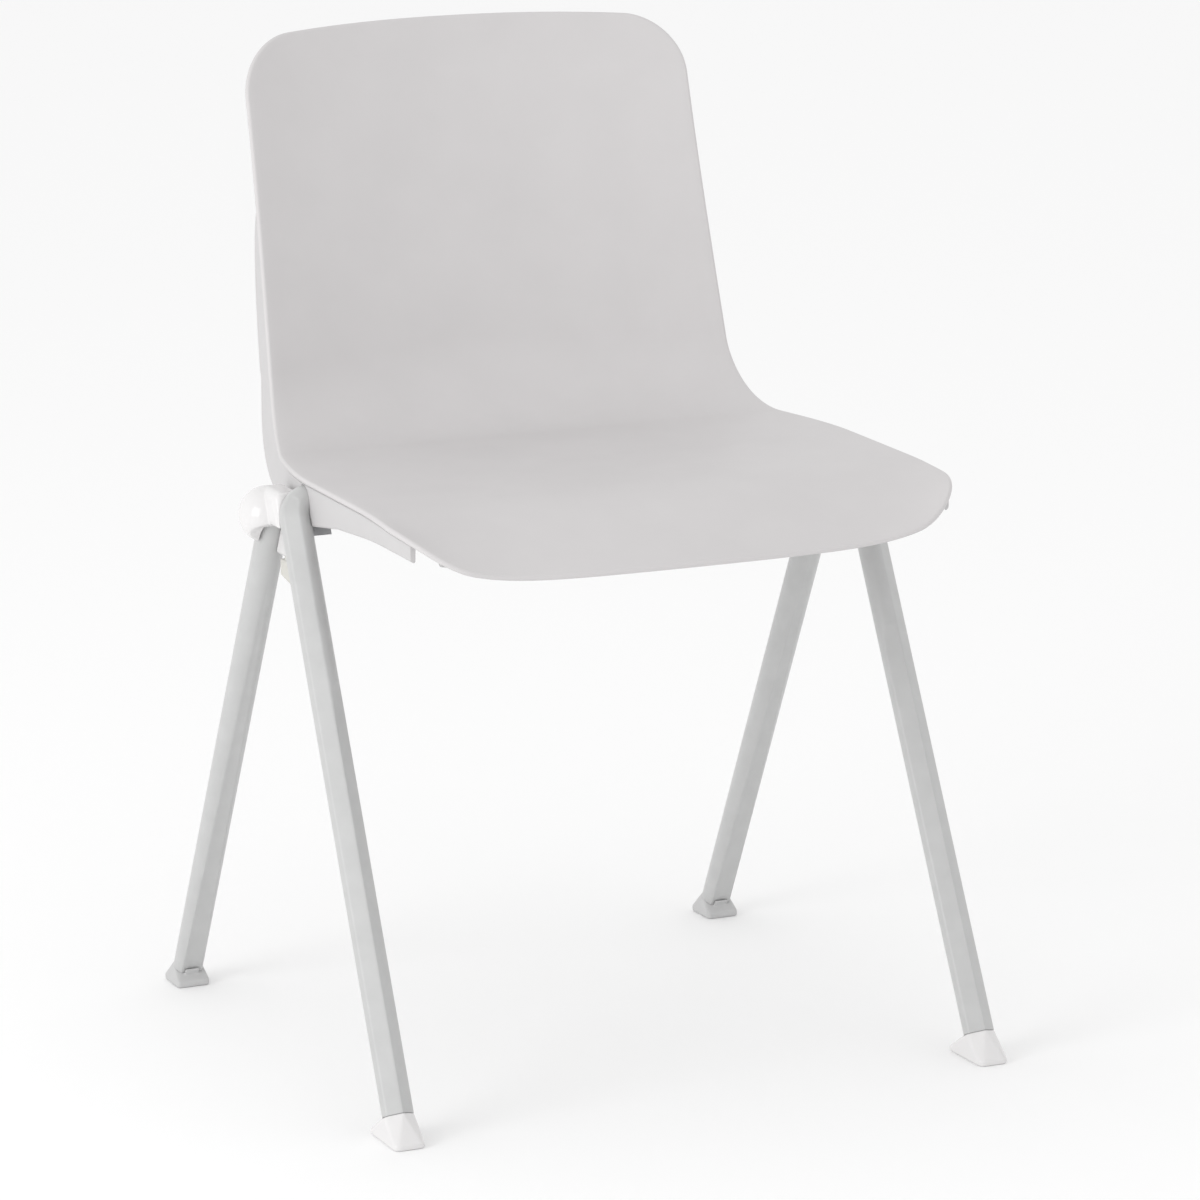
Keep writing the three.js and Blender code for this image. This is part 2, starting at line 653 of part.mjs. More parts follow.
// How many rows each stretch of the shell has.
const SHELL_ROWS = { corner: 8, seat: 11, bend: 9, back: 7, top: 7 };
const SHELL_COLUMNS = 18;

function shellRows() {
  const steps = (count, make) => Array.from({ length: count }, (_, i) => make((i + 1) / count));
  const cornerDistance = (radius, u) => radius * (1 - Math.cos(u * Math.PI / 2));
  const cornerEnd = SEAT_FRONT_Y + FRONT_CORNER_R;
  const topStart = 1 - TOP_CORNER_R / BACK_LENGTH;
  const { corner, seat, bend, back, top } = SHELL_ROWS;
  return [
    seatRow(SEAT_FRONT_Y),
    ...steps(corner, (u) => seatRow(SEAT_FRONT_Y + cornerDistance(FRONT_CORNER_R, u))),
    ...steps(seat, (u) => seatRow(lerp(cornerEnd, EDGE_LINE.seatEnd.x, u))),
    ...steps(bend, bendRow),
    ...steps(back, (u) => backRow(topStart * u)),
    ...steps(top, (u) => backRow(1 - cornerDistance(TOP_CORNER_R, 1 - u) / BACK_LENGTH)),
  ];
}

function shellSheet(thickness) {
  const rows = shellRows().map((row) => Array.from({ length: SHELL_COLUMNS + 1 }, (_, j) => (
    shellPoint(row, row.half * (2 * j / SHELL_COLUMNS - 1))
  )));
  const last = rows.length - 1;
  const upper = rows.flat();
  const lower = [];
  rows.forEach((row, i) => row.forEach((point, j) => {
    const down = rows[Math.min(i + 1, last)][j].clone().sub(rows[Math.max(i - 1, 0)][j]);
    const across = row[Math.min(j + 1, SHELL_COLUMNS)].clone().sub(row[Math.max(j - 1, 0)]);
    lower.push(along(point, down.cross(across).normalize(), thickness));
  }));
  return closedSheet(upper, lower, rows.length, SHELL_COLUMNS + 1);
}

// Two grids of the same size, closed by a strip round their edges.
function closedSheet(upper, lower, rowCount, columnCount) {
  const triangles = [];
  const offset = upper.length;
  for (let i = 0; i + 1 < rowCount; i += 1) {
    for (let j = 0; j + 1 < columnCount; j += 1) {
      const a = i * columnCount + j;
      const b = a + 1;
      const c = b + columnCount;
      const d = a + columnCount;
      quad(triangles, a, b, c, d);
      quad(triangles, offset + d, offset + c, offset + b, offset + a);
    }
  }
  const rim = [];
  for (let j = 0; j + 1 < columnCount; j += 1) rim.push(j);
  for (let i = 0; i + 1 < rowCount; i += 1) rim.push(i * columnCount + columnCount - 1);
  for (let j = columnCount - 1; j > 0; j -= 1) rim.push((rowCount - 1) * columnCount + j);
  for (let i = rowCount - 1; i > 0; i -= 1) rim.push(i * columnCount);
  rim.forEach((a, k) => {
    const b = rim[(k + 1) % rim.length];
    quad(triangles, b, a, offset + a, offset + b);
  });
  return closedGeometry([...upper, ...lower], triangles);
}

const UNDERSIDE_STEPS = 5;

// Height of the shell's underside at a place in plan. A row's points don't all lie at its own Y,
// so the row is found by stepping towards the one that does.
function undersideZ(x, y) {
  let rowY = y;
  let point = shellPoint(seatRow(rowY), x);
  for (let step = 0; step < UNDERSIDE_STEPS; step += 1) {
    rowY += y - point.y;
    point = shellPoint(seatRow(rowY), x);
  }
  return point.z - SHELL_THICK;
}

const SHELL_SCREW_SPOTS = SHELL_SCREW_Y.map((y) => [SHELL_SCREW_X, y]);
const RIB_SCREW_SPOT = [RIB_SCREW_X, RIB_Y + RIB_SCREW_SETBACK];
const bossLow = (x, y) => undersideZ(x, y) - BOSS_DEPTH;

// What is hung under the shell is cut back to clear it.
const underShell = (piece) => piece.subtract(toManifold(shellSheet(SHELL_THICK + GAP)));

function seatShell() {
  let shell = toManifold(shellSheet(SHELL_THICK));
  const spots = [...SHELL_SCREW_SPOTS, RIB_SCREW_SPOT];
  for (const [spotX, y] of spots) {
    for (const x of [spotX, -spotX]) {
      const low = bossLow(x, y);
      shell = shell.add(toManifold(rodZ(BOSS_R, low, low + BOSS_DEPTH + BOSS_EMBED, x, y)));
      shell = shell.subtract(toManifold(rodZ(SCREW.shankR + GAP, low - OVERSHOOT, low + BOSS_DEPTH, x, y)));
    }
  }
  return toGeometry(shell);
}

// ---- Side rail ----------------------------------------------------------------------------

function railStation(row, depth) {
  const out = vec(0, row.out.x, row.out.y);
  const [outer, inner] = [RAIL_INSET, RAIL_INSET + RAIL_WALL].map((inset) => {
    const point = shellPoint(row, row.half - inset);
    return along(point, out, SHELL_THICK + RAIL_CLEARANCE);
  });
  return [outer, inner, along(inner, out, depth), along(outer, out, depth)];
}

function railDepth(y) {
  if (y < RAIL_KNEE_Y) {
    const f = (y - RAIL_FRONT_Y) / (RAIL_KNEE_Y - RAIL_FRONT_Y);
    return lerp(RAIL_DEPTH_FRONT, RAIL_DEPTH_KNEE, f);
  }
  const f = Math.min(1, (y - RAIL_KNEE_Y) / (RAIL_DEEP_Y - RAIL_KNEE_Y));
  return lerp(RAIL_DEPTH_KNEE, RAIL_DEPTH_MIDDLE, f);
}

// Where the rail has its sections: along the seat, as shares of the bend, as shares of its height.
const RAIL_SEAT_YS = [
  RAIL_FRONT_Y, -213, -203, -190, -150, -120,
  RAIL_KNEE_Y, -66, RAIL_DEEP_Y, -20, 5, 30, EDGE_LINE.seatEnd.x,
];
const RAIL_BEND_STEPS = 9;
const RAIL_BACK_SHARES = [0.25, 0.5, 0.7, 0.85, 0.95, 1];
const RAIL_TIP_DEPTH = 1;

function railWall() {
  const stations = RAIL_SEAT_YS.map((y) => railStation(seatRow(y), railDepth(y)));
  for (let i = 1; i <= RAIL_BEND_STEPS; i += 1) {
    const f = i / RAIL_BEND_STEPS;
    const heel = RAIL_HEEL * Math.sin(Math.PI * f) ** RAIL_HEEL_POWER;
    stations.push(railStation(bendRow(f), lerp(RAIL_DEPTH_MIDDLE, RAIL_DEPTH_BACK, f) + heel));
  }
  const topShare = (RAIL_TOP_Z - EDGE_LINE.backStart.y) / (EDGE.topZ - EDGE_LINE.backStart.y);
  for (const f of RAIL_BACK_SHARES) {
    const depth = RAIL_DEPTH_BACK * Math.sqrt(1 - f ** 2) + RAIL_TIP_DEPTH;
    stations.push(railStation(backRow(f * topShare), depth));
  }
  return loft(stations);
}

// The solid block inboard of the rail's wall that both cross tubes run through.
function railBlock() {
  const { inner, front, back, low, top } = BLOCK;
  const stations = [0, 1 / 3, 2 / 3, 1].map((f) => {
    const y = lerp(front, back, f);
    const outer = seatHalf(y) - RAIL_INSET - RAIL_WALL / 2;
    return [vec(inner, y, low), vec(outer, y, low), vec(outer, y, top), vec(inner, y, top)];
  });
  return loft(stations);
}

const CLAMP_SCREW_SPOTS = [-CLAMP_SCREW_OFFSET, CLAMP_SCREW_OFFSET]
  .map((offset) => [(CLAMP.inner + CLAMP.outer) / 2, HUB_Y + offset]);

const tubeHole = (y, z) => toManifold(rodX(CROSS_R + GAP, BLOCK.inner - OVERSHOOT, LEG_X, y, z));

function sideRail() {
  let rail = underShell(toManifold(railWall()).add(toManifold(railBlock())));
  for (const [x, y] of SHELL_SCREW_SPOTS) {
    const top = bossLow(x, y) - GAP;
    const reach = seatHalf(y) - RAIL_INSET - RAIL_WALL / 2;
    const { halfLength, inner } = RAIL_TAB;
    const tab = box(x - inner, reach, y - halfLength, y + halfLength, top - TAB_THICK, top);
    rail = rail.add(toManifold(tab));
    rail = rail.subtract(toManifold(rodZ(SCREW.shankR + GAP, top - 2 * TAB_THICK, top + OVERSHOOT, x, y)));
  }
  rail = rail.subtract(tubeHole(FRONT_TUBE_Y, FRONT_TUBE_Z)).subtract(tubeHole(HUB_Y, HUB_Z));
  for (const [x, y] of CLAMP_SCREW_SPOTS) {
    const deep = CLAMP.low + CLAMP_SCREW.length + OVERSHOOT;
    rail = rail.subtract(toManifold(rodZ(CLAMP_SCREW.shankR + GAP, BLOCK.low - OVERSHOOT, deep, x, y)));
  }
  for (const neighbour of [frontLegEnvelope(), hubCoreEnvelope()]) {
    rail = rail.subtract(toManifold(leaned(neighbour)));
  }
  return toGeometry(rail);
}

// ---- Front cross rib ----------------------------------------------------------------------

const RIB_STEPS = 14;

function frontRib() {
  const rings = Array.from({ length: RIB_STEPS + 1 }, (_, i) => {
    const x = Math.sin((i / RIB_STEPS - 0.5) * Math.PI) * RIB_HALF;
    const tops = [RIB_Y - RIB_THICK / 2, RIB_Y + RIB_THICK / 2]
      .map((y) => vec(x, y, undersideZ(x, y) - RAIL_CLEARANCE - GAP));
    const low = Math.min(tops[0].z, tops[1].z) - RIB_DEPTH;
    return [tops[0], tops[1], vec(x, tops[1].y, low), vec(x, tops[0].y, low)];
  });
  let rib = toManifold(loft(rings));
  const [spotX, y] = RIB_SCREW_SPOT;
  const top = bossLow(spotX, y) - GAP;
  for (const x of [spotX, -spotX]) {
    const { halfWidth, beyond } = RIB_TAB;
    const tab = box(x - halfWidth, x + halfWidth, RIB_Y, y + beyond, top - TAB_THICK, top);
    rib = rib.add(toManifold(tab));
    rib = rib.subtract(toManifold(rodZ(SCREW.shankR + GAP, top - 2 * TAB_THICK, top + OVERSHOOT, x, y)));
  }
  return toGeometry(underShell(rib));
}

// ---- Clamps and screws --------------------------------------------------------------------

function saddleClamp() {
  const { inner, outer, half, low } = CLAMP;
  let clamp = toManifold(box(inner, outer, HUB_Y - half, HUB_Y + half, low, BLOCK.low - GAP))
    .subtract(tubeHole(HUB_Y, HUB_Z));
  for (const [x, y] of CLAMP_SCREW_SPOTS) {
    const [start, end] = [low - OVERSHOOT, BLOCK.low + OVERSHOOT];
    clamp = clamp.subtract(toManifold(rodZ(CLAMP_SCREW.shankR + GAP, start, end, x, y)));
  }
  return toGeometry(clamp);
}

const SCREW_CROWN = 0.7; // radius of the head's flat top, as a share of the head
const SCREW_SHOULDER = 0.45; // height of the head's straight side, as a share of the head
const SCREW_SIDES = 12;

// A pan-head screw driven upward; `seat` is the height of the face under which its head sits.
function screwUp({ headR, headH, shankR, length }, x, y, seat) {
  const profile = [
    [0, -headH], [headR * SCREW_CROWN, -headH], [headR, -headH * SCREW_SHOULDER], [headR, -GAP],
    [shankR, -GAP], [shankR, length - shankR], [0, length],
  ].map(([r, z]) => new THREE.Vector2(r, z));
  return new THREE.LatheGeometry(profile, SCREW_SIDES).rotateX(Math.PI / 2).translate(x, y, seat);
}

const shellScrew = ([x, y]) => screwUp(SCREW, x, y, bossLow(x, y) - GAP - TAB_THICK);
const clampScrew = ([x, y]) => screwUp(CLAMP_SCREW, x, y, CLAMP.low);

// ---- Materials ----------------------------------------------------------------------------

const finish = (color, roughness, metalness = 0) => (
  new THREE.MeshStandardMaterial({ color, roughness, metalness })
);

const SHELL_PLASTIC = finish(0xcdcbcb, 0.6);
const RAIL_PLASTIC = finish(0xd2d1d2, 0.6);
const RIB_PLASTIC = finish(0xb9b9b9, 0.65);
const FRAME_PAINT = finish(0xd0d2d1, 0.35, 0.2);
const WHITE_GLOSS = finish(0xf4f3f1, 0.18);
const OFF_WHITE = finish(0xe6e4dd, 0.4);
const FOOT_GREY = finish(0xc4c5c5, 0.45);
const CAST_ALLOY = finish(0xa9abad, 0.45, 1);
const ZINC = finish(0xb5b7ba, 0.35, 1);

// ---- Assembly -----------------------------------------------------------------------------

const chair = new THREE.Group();

function addPart(name, geometry, material) {
  geometry.computeVertexNormals();
  const mesh = new THREE.Mesh(geometry, material.clone());
  mesh.name = name;
  chair.add(mesh);
}

const addSingle = (name, geometry, material) => (
  addPart(name, toGeometry(toManifold(geometry)), material)
);

// Seen by someone sitting on the chair, which faces -Y, their right is -X.
function addPair(name, geometry, material) {
  const clean = toGeometry(toManifold(geometry));
  addPart(`${name}_left`, clean, material);
  addPart(`${name}_right`, mirrored(clean), material);
}

addSingle('seat_shell', seatShell(), SHELL_PLASTIC);
addPair('side_rail', sideRail(), RAIL_PLASTIC);
addSingle('front_cross_rib', frontRib(), RIB_PLASTIC);
addPair('front_leg', leaned(frontLeg()), FRAME_PAINT);
addPair('rear_leg', leaned(rearLeg()), FRAME_PAINT);
addSingle('front_cross_tube', frontCrossTube(), FRAME_PAINT);
addSingle('rear_cross_tube', rearCrossTube(), FRAME_PAINT);
addPair('hub_core', leaned(hubCore()), CAST_ALLOY);
addPair('hub_cover', leaned(hubCover()), WHITE_GLOSS);
addPair('stacking_bumper', leaned(stackingBumper()), OFF_WHITE);
addPair('front_foot', leaned(frontFoot()), WHITE_GLOSS);
addPair('rear_foot', leaned(rearFoot()), FOOT_GREY);
addPair('saddle_clamp', saddleClamp(), RAIL_PLASTIC);
['front', 'rear'].forEach((place, i) => (
  addPair(`clamp_screw_${place}`, clampScrew(CLAMP_SCREW_SPOTS[i]), ZINC)
));
SHELL_SCREW_SPOTS.forEach((spot, i) => addPair(`shell_screw_${i + 1}`, shellScrew(spot), ZINC));
addPair('rib_screw', shellScrew(RIB_SCREW_SPOT), ZINC);

export default chair;
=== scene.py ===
import math

import bmesh
import bpy
import numpy as np
from mathutils import Matrix, Vector


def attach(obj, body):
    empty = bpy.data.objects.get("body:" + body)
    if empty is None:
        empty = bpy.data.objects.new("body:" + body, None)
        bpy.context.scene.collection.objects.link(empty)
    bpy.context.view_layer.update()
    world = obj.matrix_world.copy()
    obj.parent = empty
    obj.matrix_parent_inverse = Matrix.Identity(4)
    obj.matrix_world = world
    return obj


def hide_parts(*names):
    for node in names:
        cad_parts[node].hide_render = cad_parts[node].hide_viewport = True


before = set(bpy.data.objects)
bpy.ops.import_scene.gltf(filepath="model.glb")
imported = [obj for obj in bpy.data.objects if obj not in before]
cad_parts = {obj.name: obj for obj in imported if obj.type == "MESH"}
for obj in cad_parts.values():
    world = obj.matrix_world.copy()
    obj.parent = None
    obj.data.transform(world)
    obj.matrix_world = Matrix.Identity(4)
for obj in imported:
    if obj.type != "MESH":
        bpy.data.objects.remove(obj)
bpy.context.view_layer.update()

MM = 0.001

# ---- Dimensions shared with the CAD model, in millimetres ----------------------------------

LEG_X = 244.0
LEAN = 0.0088
TAPER = 0.01
FRONT_FOOT_Y = -242.0
REAR_FOOT_Y = 246.0
APEX_Y = -10.0
APEX_Z = 477.0
LEG_R = 12.0
LEG_WALL = 1.5
BEND_R = 15.0
FLAT_ANGLE = 34.0
FLAT_CUT = 1.9
FLAT_TURN = 0.5
INNER_FLAT_TOP_Z = 315.0
CHANNEL_TOP_Z = 385.0
CHANNEL_HALF = 44.0
CHANNEL_HOLLOW = 0.8
FRONT_TUBE_Z = 448.5
FRONT_LEG_END_X = 196.0
HUB_Z = 434.0
CORE_R = 12.0
CORE_OUTER_X = LEG_X - LEG_R
CORE_INNER_X = 216.0
CROSS_R = 10.2
GAP = 0.3
FRONT_CAP_LENGTH = 22.0
REAR_CAP_LENGTH = 17.0

SHELL_THICK = 4.5
RIM_R = SHELL_THICK / 2
SEAT_FRONT_Y = -246.0
FRONT_HALF = 230.8
FRONT_CORNER_R = 50.0
REAR_HALF = 217.0
REAR_NARROWING = 95.0
BEND_NARROWING = 1.5
BACK_LOW_HALF = 198.0
TOP_HALF = 190.5
TOP_CORNER_R = 46.0
EDGE = dict(seat_z=466.7, seat_slope=0.022, back_y=-16.2, lean=0.267, radius=72.0, top_z=775.0)
CENTRE = dict(seat_z=464.3, seat_slope=0.012, back_y=3.1, lean=0.28, radius=92.0, top_z=783.0)
DISH_POWER = 2.2
FRONT_BOW = 12.0
FRONT_BOW_REACH = 95.0
LIP_DROP = 41.0
LIP_REACH = 105.0
LIP_FADE_HALF = 238.0
LIP_FADE_POWER = 6

RAIL_INSET = 2.0
RAIL_WALL = 4.0
RAIL_FRONT_Y = -222.0
RAIL_KNEE_Y = -92.0
RAIL_DEEP_Y = -42.0
RAIL_TOP_Z = 648.0
RAIL_DEPTH_FRONT = 12.0
RAIL_DEPTH_KNEE = 22.0
RAIL_DEPTH_MIDDLE = 30.0
RAIL_DEPTH_BACK = 24.0
RAIL_HEEL = 12.0
RAIL_HEEL_POWER = 1.5
RAIL_TIP_DEPTH = 1.0
RAIL_CLEARANCE = 0.8
BLOCK = dict(inner=166.0, front=-46.0, back=38.0, low=434.4, top=460.2)
SHELL_SCREW_X = 184.0
SHELL_SCREW_Y = (-160.0, -80.0, 62.0)
RIB_Y = -222.0
RIB_HALF = 198.0
RIB_THICK = 6.0
RIB_DEPTH = 9.0
RIB_SCREW_X = 120.0
RIB_SCREW_SETBACK = 16.0
BOSS_R = 6.0
BOSS_DEPTH = 8.0
TAB_THICK = 3.0
SCREW_HOLE_R = 2.0
HOLE_SIDES = 24
TUBE_HOLE_SIDES = 64
BOSS_SIDES = 32
BOSS_FILLET = 1.5
RAIL_TAB = dict(half_length=11.0, inner=9.0)
RIB_TAB = dict(half_width=11.0, beyond=10.0)
TAB_BEVEL = 0.5
BLOCK_BEVEL = 1.2


# ---- Mesh helpers --------------------------------------------------------------------------

def raw_piece(name, points, faces, material=None):
    """A mesh object from points in millimetres in the CAD model's own frame."""
    mesh = bpy.data.meshes.new(name)
    mesh.from_pydata([tuple(float(c) * MM for c in p) for p in points], [], faces)
    mesh.update()
    piece = bpy.data.objects.new(name, mesh)
    bpy.context.scene.collection.objects.link(piece)
    if material:
        mesh.materials.append(material)
    return piece


def enlist(piece, replaced, crease=38):
    """Smooth shading with creases kept sharp, and the piece's place in the shared frame."""
    mesh = piece.data
    mesh.polygons.foreach_set("use_smooth", [True] * len(mesh.polygons))
    mesh.set_sharp_from_angle(angle=math.radians(crease))
    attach(piece, "root")
    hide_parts(*replaced)
    return piece


def bake(piece):
    """Replaces the piece's mesh by what its modifiers make of it."""
    view = bpy.context.evaluated_depsgraph_get()
    baked = bpy.data.meshes.new_from_object(piece.evaluated_get(view))
    piece.modifiers.clear()
    piece.data = baked


def combine(piece, tools, operation):
    """Joins the tools to the piece, or cuts them out of it, and removes them."""
    for tool in tools:
        step = piece.modifiers.new("combine", "BOOLEAN")
        step.operation = operation
        step.object = tool
        bake(piece)
        bpy.data.objects.remove(tool)


FLARE_STEPS = 6
FLARE_EMBED = 0.6  # how far a flared rod runs on past its high end


def rod(axis, radius, low, high, across, segments, flare=0.0):
    """A rod along X (axis 0) or Z (axis 2); flare widens its high end like a fillet."""
    points, faces = [], []
    rings = [(low, radius), (high, radius)]
    if flare:
        rings = [(low, radius)]
        for k in range(FLARE_STEPS + 1):
            widening = flare * (1 - math.cos(k / FLARE_STEPS * math.pi / 2))
            rings.append((mix(high - flare, high, k / FLARE_STEPS), radius + widening))
        rings.append((high + FLARE_EMBED, radius + flare))
    for place, r in rings:
        for k in range(segments):
            angle = 2 * math.pi * k / segments
            a, b = across[0] + r * math.cos(angle), across[1] + r * math.sin(angle)
            points.append((place, a, b) if axis == 0 else (a, b, place))
    for i in range(len(rings) - 1):
        for j in range(segments):
            k = (j + 1) % segments
            faces.append((i * segments + j, i * segments + k, (i + 1) * segments + k, (i + 1) * segments + j))
    faces.append(tuple(reversed(range(segments))))
    faces.append(tuple((len(rings) - 1) * segments + k for k in range(segments)))
    return raw_piece("rod", points, faces)


def unit(vectors):
    return vectors / np.linalg.norm(vectors, axis=-1, keepdims=True)


# ---- Shell surface -------------------------------------------------------------------------

class SideLine:
    """A seat line and a back line seen from the side, joined by a fillet."""

    def __init__(self, seat_z, seat_slope, back_y, lean, radius, top_z):
        self.seat_z, self.seat_slope, self.radius = seat_z, seat_slope, radius
        corner_z = (seat_z + seat_slope * back_y) / (1 - seat_slope * lean)
        corner = np.array([back_y + lean * corner_z, corner_z])
        forward = unit(np.array([-1.0, -seat_slope]))
        upward = unit(np.array([lean, 1.0]))
        opening = math.acos(float(forward @ upward))
        tangent = radius / math.tan(opening / 2)
        self.seat_end = corner + forward * tangent
        self.back_start = corner + upward * tangent
        self.top = np.array([back_y + lean * top_z, top_z])
        self.middle = self.seat_end + radius * np.array([forward[1], -forward[0]])
        start = self.seat_end - self.middle
        self.start_angle = math.atan2(start[1], start[0])
        self.turn = math.pi - opening

    def seat_at(self, y):
        return np.array([y, self.seat_z + self.seat_slope * y])

    def out_at(self, f):
        angle = self.start_angle + self.turn * f
        return np.array([math.cos(angle), math.sin(angle)])

    def bend_at(self, f):
        return self.middle + self.radius * self.out_at(f)

    def back_at(self, f):
        return self.back_start * (1 - f) + self.top * f


EDGE_LINE = SideLine(**EDGE)
CENTRE_LINE = SideLine(**CENTRE)
SEAT_LENGTH = EDGE_LINE.seat_end[0] - SEAT_FRONT_Y
BEND_LENGTH = EDGE_LINE.radius * EDGE_LINE.turn
BACK_LENGTH = float(np.linalg.norm(EDGE_LINE.top - EDGE_LINE.back_start))
SHELL_LENGTH = SEAT_LENGTH + BEND_LENGTH + BACK_LENGTH


def mix(a, b, t):
    return a * (1 - t) + b * t


def shell_row(s):
    """The row at distance s from the front edge.

    Gives its full half width, edge and centre points, distance from the front, and outward direction.
    """
    if s <= SEAT_LENGTH:
        y = SEAT_FRONT_Y + s
        ahead = min(max((SEAT_LENGTH - s) / REAR_NARROWING, 0), 1)
        full = mix(REAR_HALF, FRONT_HALF, math.sin(ahead * math.pi / 2))
        centre_y = mix(SEAT_FRONT_Y, CENTRE_LINE.seat_end[0], s / SEAT_LENGTH)
        return full, EDGE_LINE.seat_at(y), CENTRE_LINE.seat_at(centre_y), s, EDGE_LINE.out_at(0)
    if s <= SEAT_LENGTH + BEND_LENGTH:
        f = (s - SEAT_LENGTH) / BEND_LENGTH
        full = mix(BACK_LOW_HALF, REAR_HALF, max(1 - f, 0) ** BEND_NARROWING)
        return full, EDGE_LINE.bend_at(f), CENTRE_LINE.bend_at(f), math.inf, EDGE_LINE.out_at(f)
    f = (s - SEAT_LENGTH - BEND_LENGTH) / BACK_LENGTH
    full = mix(BACK_LOW_HALF, TOP_HALF, math.sin(min(f, 1) * math.pi / 2))
    return full, EDGE_LINE.back_at(f), CENTRE_LINE.back_at(f), math.inf, EDGE_LINE.out_at(1)


def corner_half(full, radius, distance):
    if distance >= radius:
        return full
    return full - radius + math.sqrt(max(radius ** 2 - (radius - distance) ** 2, 0))


def shell_half(s, inset=0.0):
    """Half width of the shell's outline, drawn in by inset all round."""
    full = shell_row(s)[0] - inset
    front = corner_half(full, FRONT_CORNER_R - inset, s - inset)
    top = corner_half(full, TOP_CORNER_R - inset, SHELL_LENGTH - inset - s)
    return min(front, top)


def shell_point(s, x):
    full, edge, centre, from_front, _ = shell_row(s)
    blend = min(1.0, abs(x) / full) ** DISH_POWER
    bow = FRONT_BOW * (1 - (x / FRONT_HALF) ** 2) * max(0.0, 1 - from_front / FRONT_BOW_REACH) ** 2
    fade = 1 - (abs(x) / LIP_FADE_HALF) ** LIP_FADE_POWER
    drop = LIP_DROP * fade * max(0.0, 1 - from_front / LIP_REACH) ** 2
    return np.array([x, mix(centre[0], edge[0], blend) - bow, mix(centre[1], edge[1], blend) - drop])


def shell_normal(s, x, step=0.5):
    """Points up off the seat and forward off the back."""
    low, high = max(s - step, 0), min(s + step, SHELL_LENGTH)
    along = shell_point(high, x) - shell_point(low, x)
    across = shell_point(s, x + step) - shell_point(s, x - step)
    return unit(np.cross(across, along))


def shell_stations(seat=26, bend=26, back=26, corner=20):
    """Distances of the rows, closer together where an outline corner turns."""
    start, end = RIM_R, SHELL_LENGTH - RIM_R
    turn = [1 - math.cos(k / corner * math.pi / 2) for k in range(corner + 1)]
    front = [start + (FRONT_CORNER_R - RIM_R) * t for t in turn]
    top = [end - (TOP_CORNER_R - RIM_R) * t for t in reversed(turn)]
    seat_rows = list(np.linspace(front[-1], SEAT_LENGTH, seat))[1:]
    bend_rows = list(np.linspace(SEAT_LENGTH, SEAT_LENGTH + BEND_LENGTH, bend))[1:]
    back_rows = list(np.linspace(SEAT_LENGTH + BEND_LENGTH, top[0], back))[1:]
    return front + seat_rows + bend_rows + back_rows + top[1:]


def shell_piece(material, columns=72, rim_steps=8):
    stations = shell_stations()
    upper, normals = [], []
    for s in stations:
        half = shell_half(s, RIM_R)
        for j in range(columns + 1):
            x = half * (2 * j / columns - 1)
            upper.append(shell_point(s, x))
            normals.append(shell_normal(s, x))
    upper, normals = np.array(upper), np.array(normals)
    lower = upper - normals * SHELL_THICK
    width, count = columns + 1, len(stations)
    points = list(upper) + list(lower)
    base = len(upper)
    faces = []
    for i in range(count - 1):
        for j in range(columns):
            a = i * width + j
            quad = (a, a + 1, a + 1 + width, a + width)
            faces.append(quad)
            faces.append(tuple(base + k for k in reversed(quad)))
    loop = list(range(width - 1))
    loop += [i * width + width - 1 for i in range(count - 1)]
    loop += [(count - 1) * width + j for j in range(width - 1, 0, -1)]
    loop += [i * width for i in range(count - 1, 0, -1)]
    add_round_rim(points, faces, upper, normals, loop, base, rim_steps)
    shell = raw_piece("shell", points, faces, material)
    fix_normals(shell)
    return shell


def add_round_rim(points, faces, upper, normals, loop, base, steps):
    """A half-round edge between the upper and lower surface, all round the outline."""
    rings = []
    for k, a in enumerate(loop):
        before, after = upper[loop[k - 1]], upper[loop[(k + 1) % len(loop)]]
        outward = unit(np.cross(after - before, normals[a]))
        middle = upper[a] - normals[a] * RIM_R
        ring = [a]
        for step in range(1, steps):
            angle = math.pi * step / steps
            points.append(middle + RIM_R * (math.cos(angle) * normals[a] + math.sin(angle) * outward))
            ring.append(len(points) - 1)
        ring.append(base + a)
        rings.append(ring)
    for k, here in enumerate(rings):
        there = rings[(k + 1) % len(rings)]
        for step in range(steps):
            faces.append((there[step], here[step], here[step + 1], there[step + 1]))


# ---- Leg frames ----------------------------------------------------------------------------

X_AXIS = np.array([1.0, 0.0, 0.0])
SECTION_SIDES = 96
BEND_STEPS = 56
CUTTER_START = 330.0  # along the leg, well below everything the cutter has to clear
CUTTER_STEPS = 24
OUTER_FLAT_REACH = 14.0  # length over which a pressed flat's upper end narrows to a point
INNER_FLAT_REACH = 34.0
CHANNEL_REACH = 40.0
CHANNEL_ARCH_SHARE = 0.14  # of the channel's width, the part that its rounded upper end gives
TOP_STEPS = 13


def leaned(points):
    """Leans a side frame inward, as the CAD model does."""
    out = np.array(points, dtype=float)
    out[:, 0] -= LEAN * out[:, 2] + TAPER * (out[:, 1] - FRONT_FOOT_Y)
    return out


def mirrored(points, faces):
    out = np.array(points, dtype=float)
    out[:, 0] = -out[:, 0]
    return out, [tuple(reversed(face)) for face in faces]


def add_pair(name, points, faces, material, node):
    """The left piece and its mirror image, each standing for its CAD node."""
    enlist(raw_piece(name + "_left", points, faces, material), [node + "_left"])
    other, turned = mirrored(points, faces)
    enlist(raw_piece(name + "_right", other, turned, material), [node + "_right"])


class LegAxis:
    """A leg's centre line in the plane of its side frame."""

    def __init__(self, foot_y):
        self.foot = np.array([LEG_X, foot_y, 0.0])
        self.direction = unit(np.array([0.0, APEX_Y - foot_y, APEX_Z]))
        self.ahead = np.array([0.0, -self.direction[2], self.direction[1]])

    def at(self, distance):
        return self.foot + self.direction * distance

    def at_height(self, z):
        return self.at(z / self.direction[2])


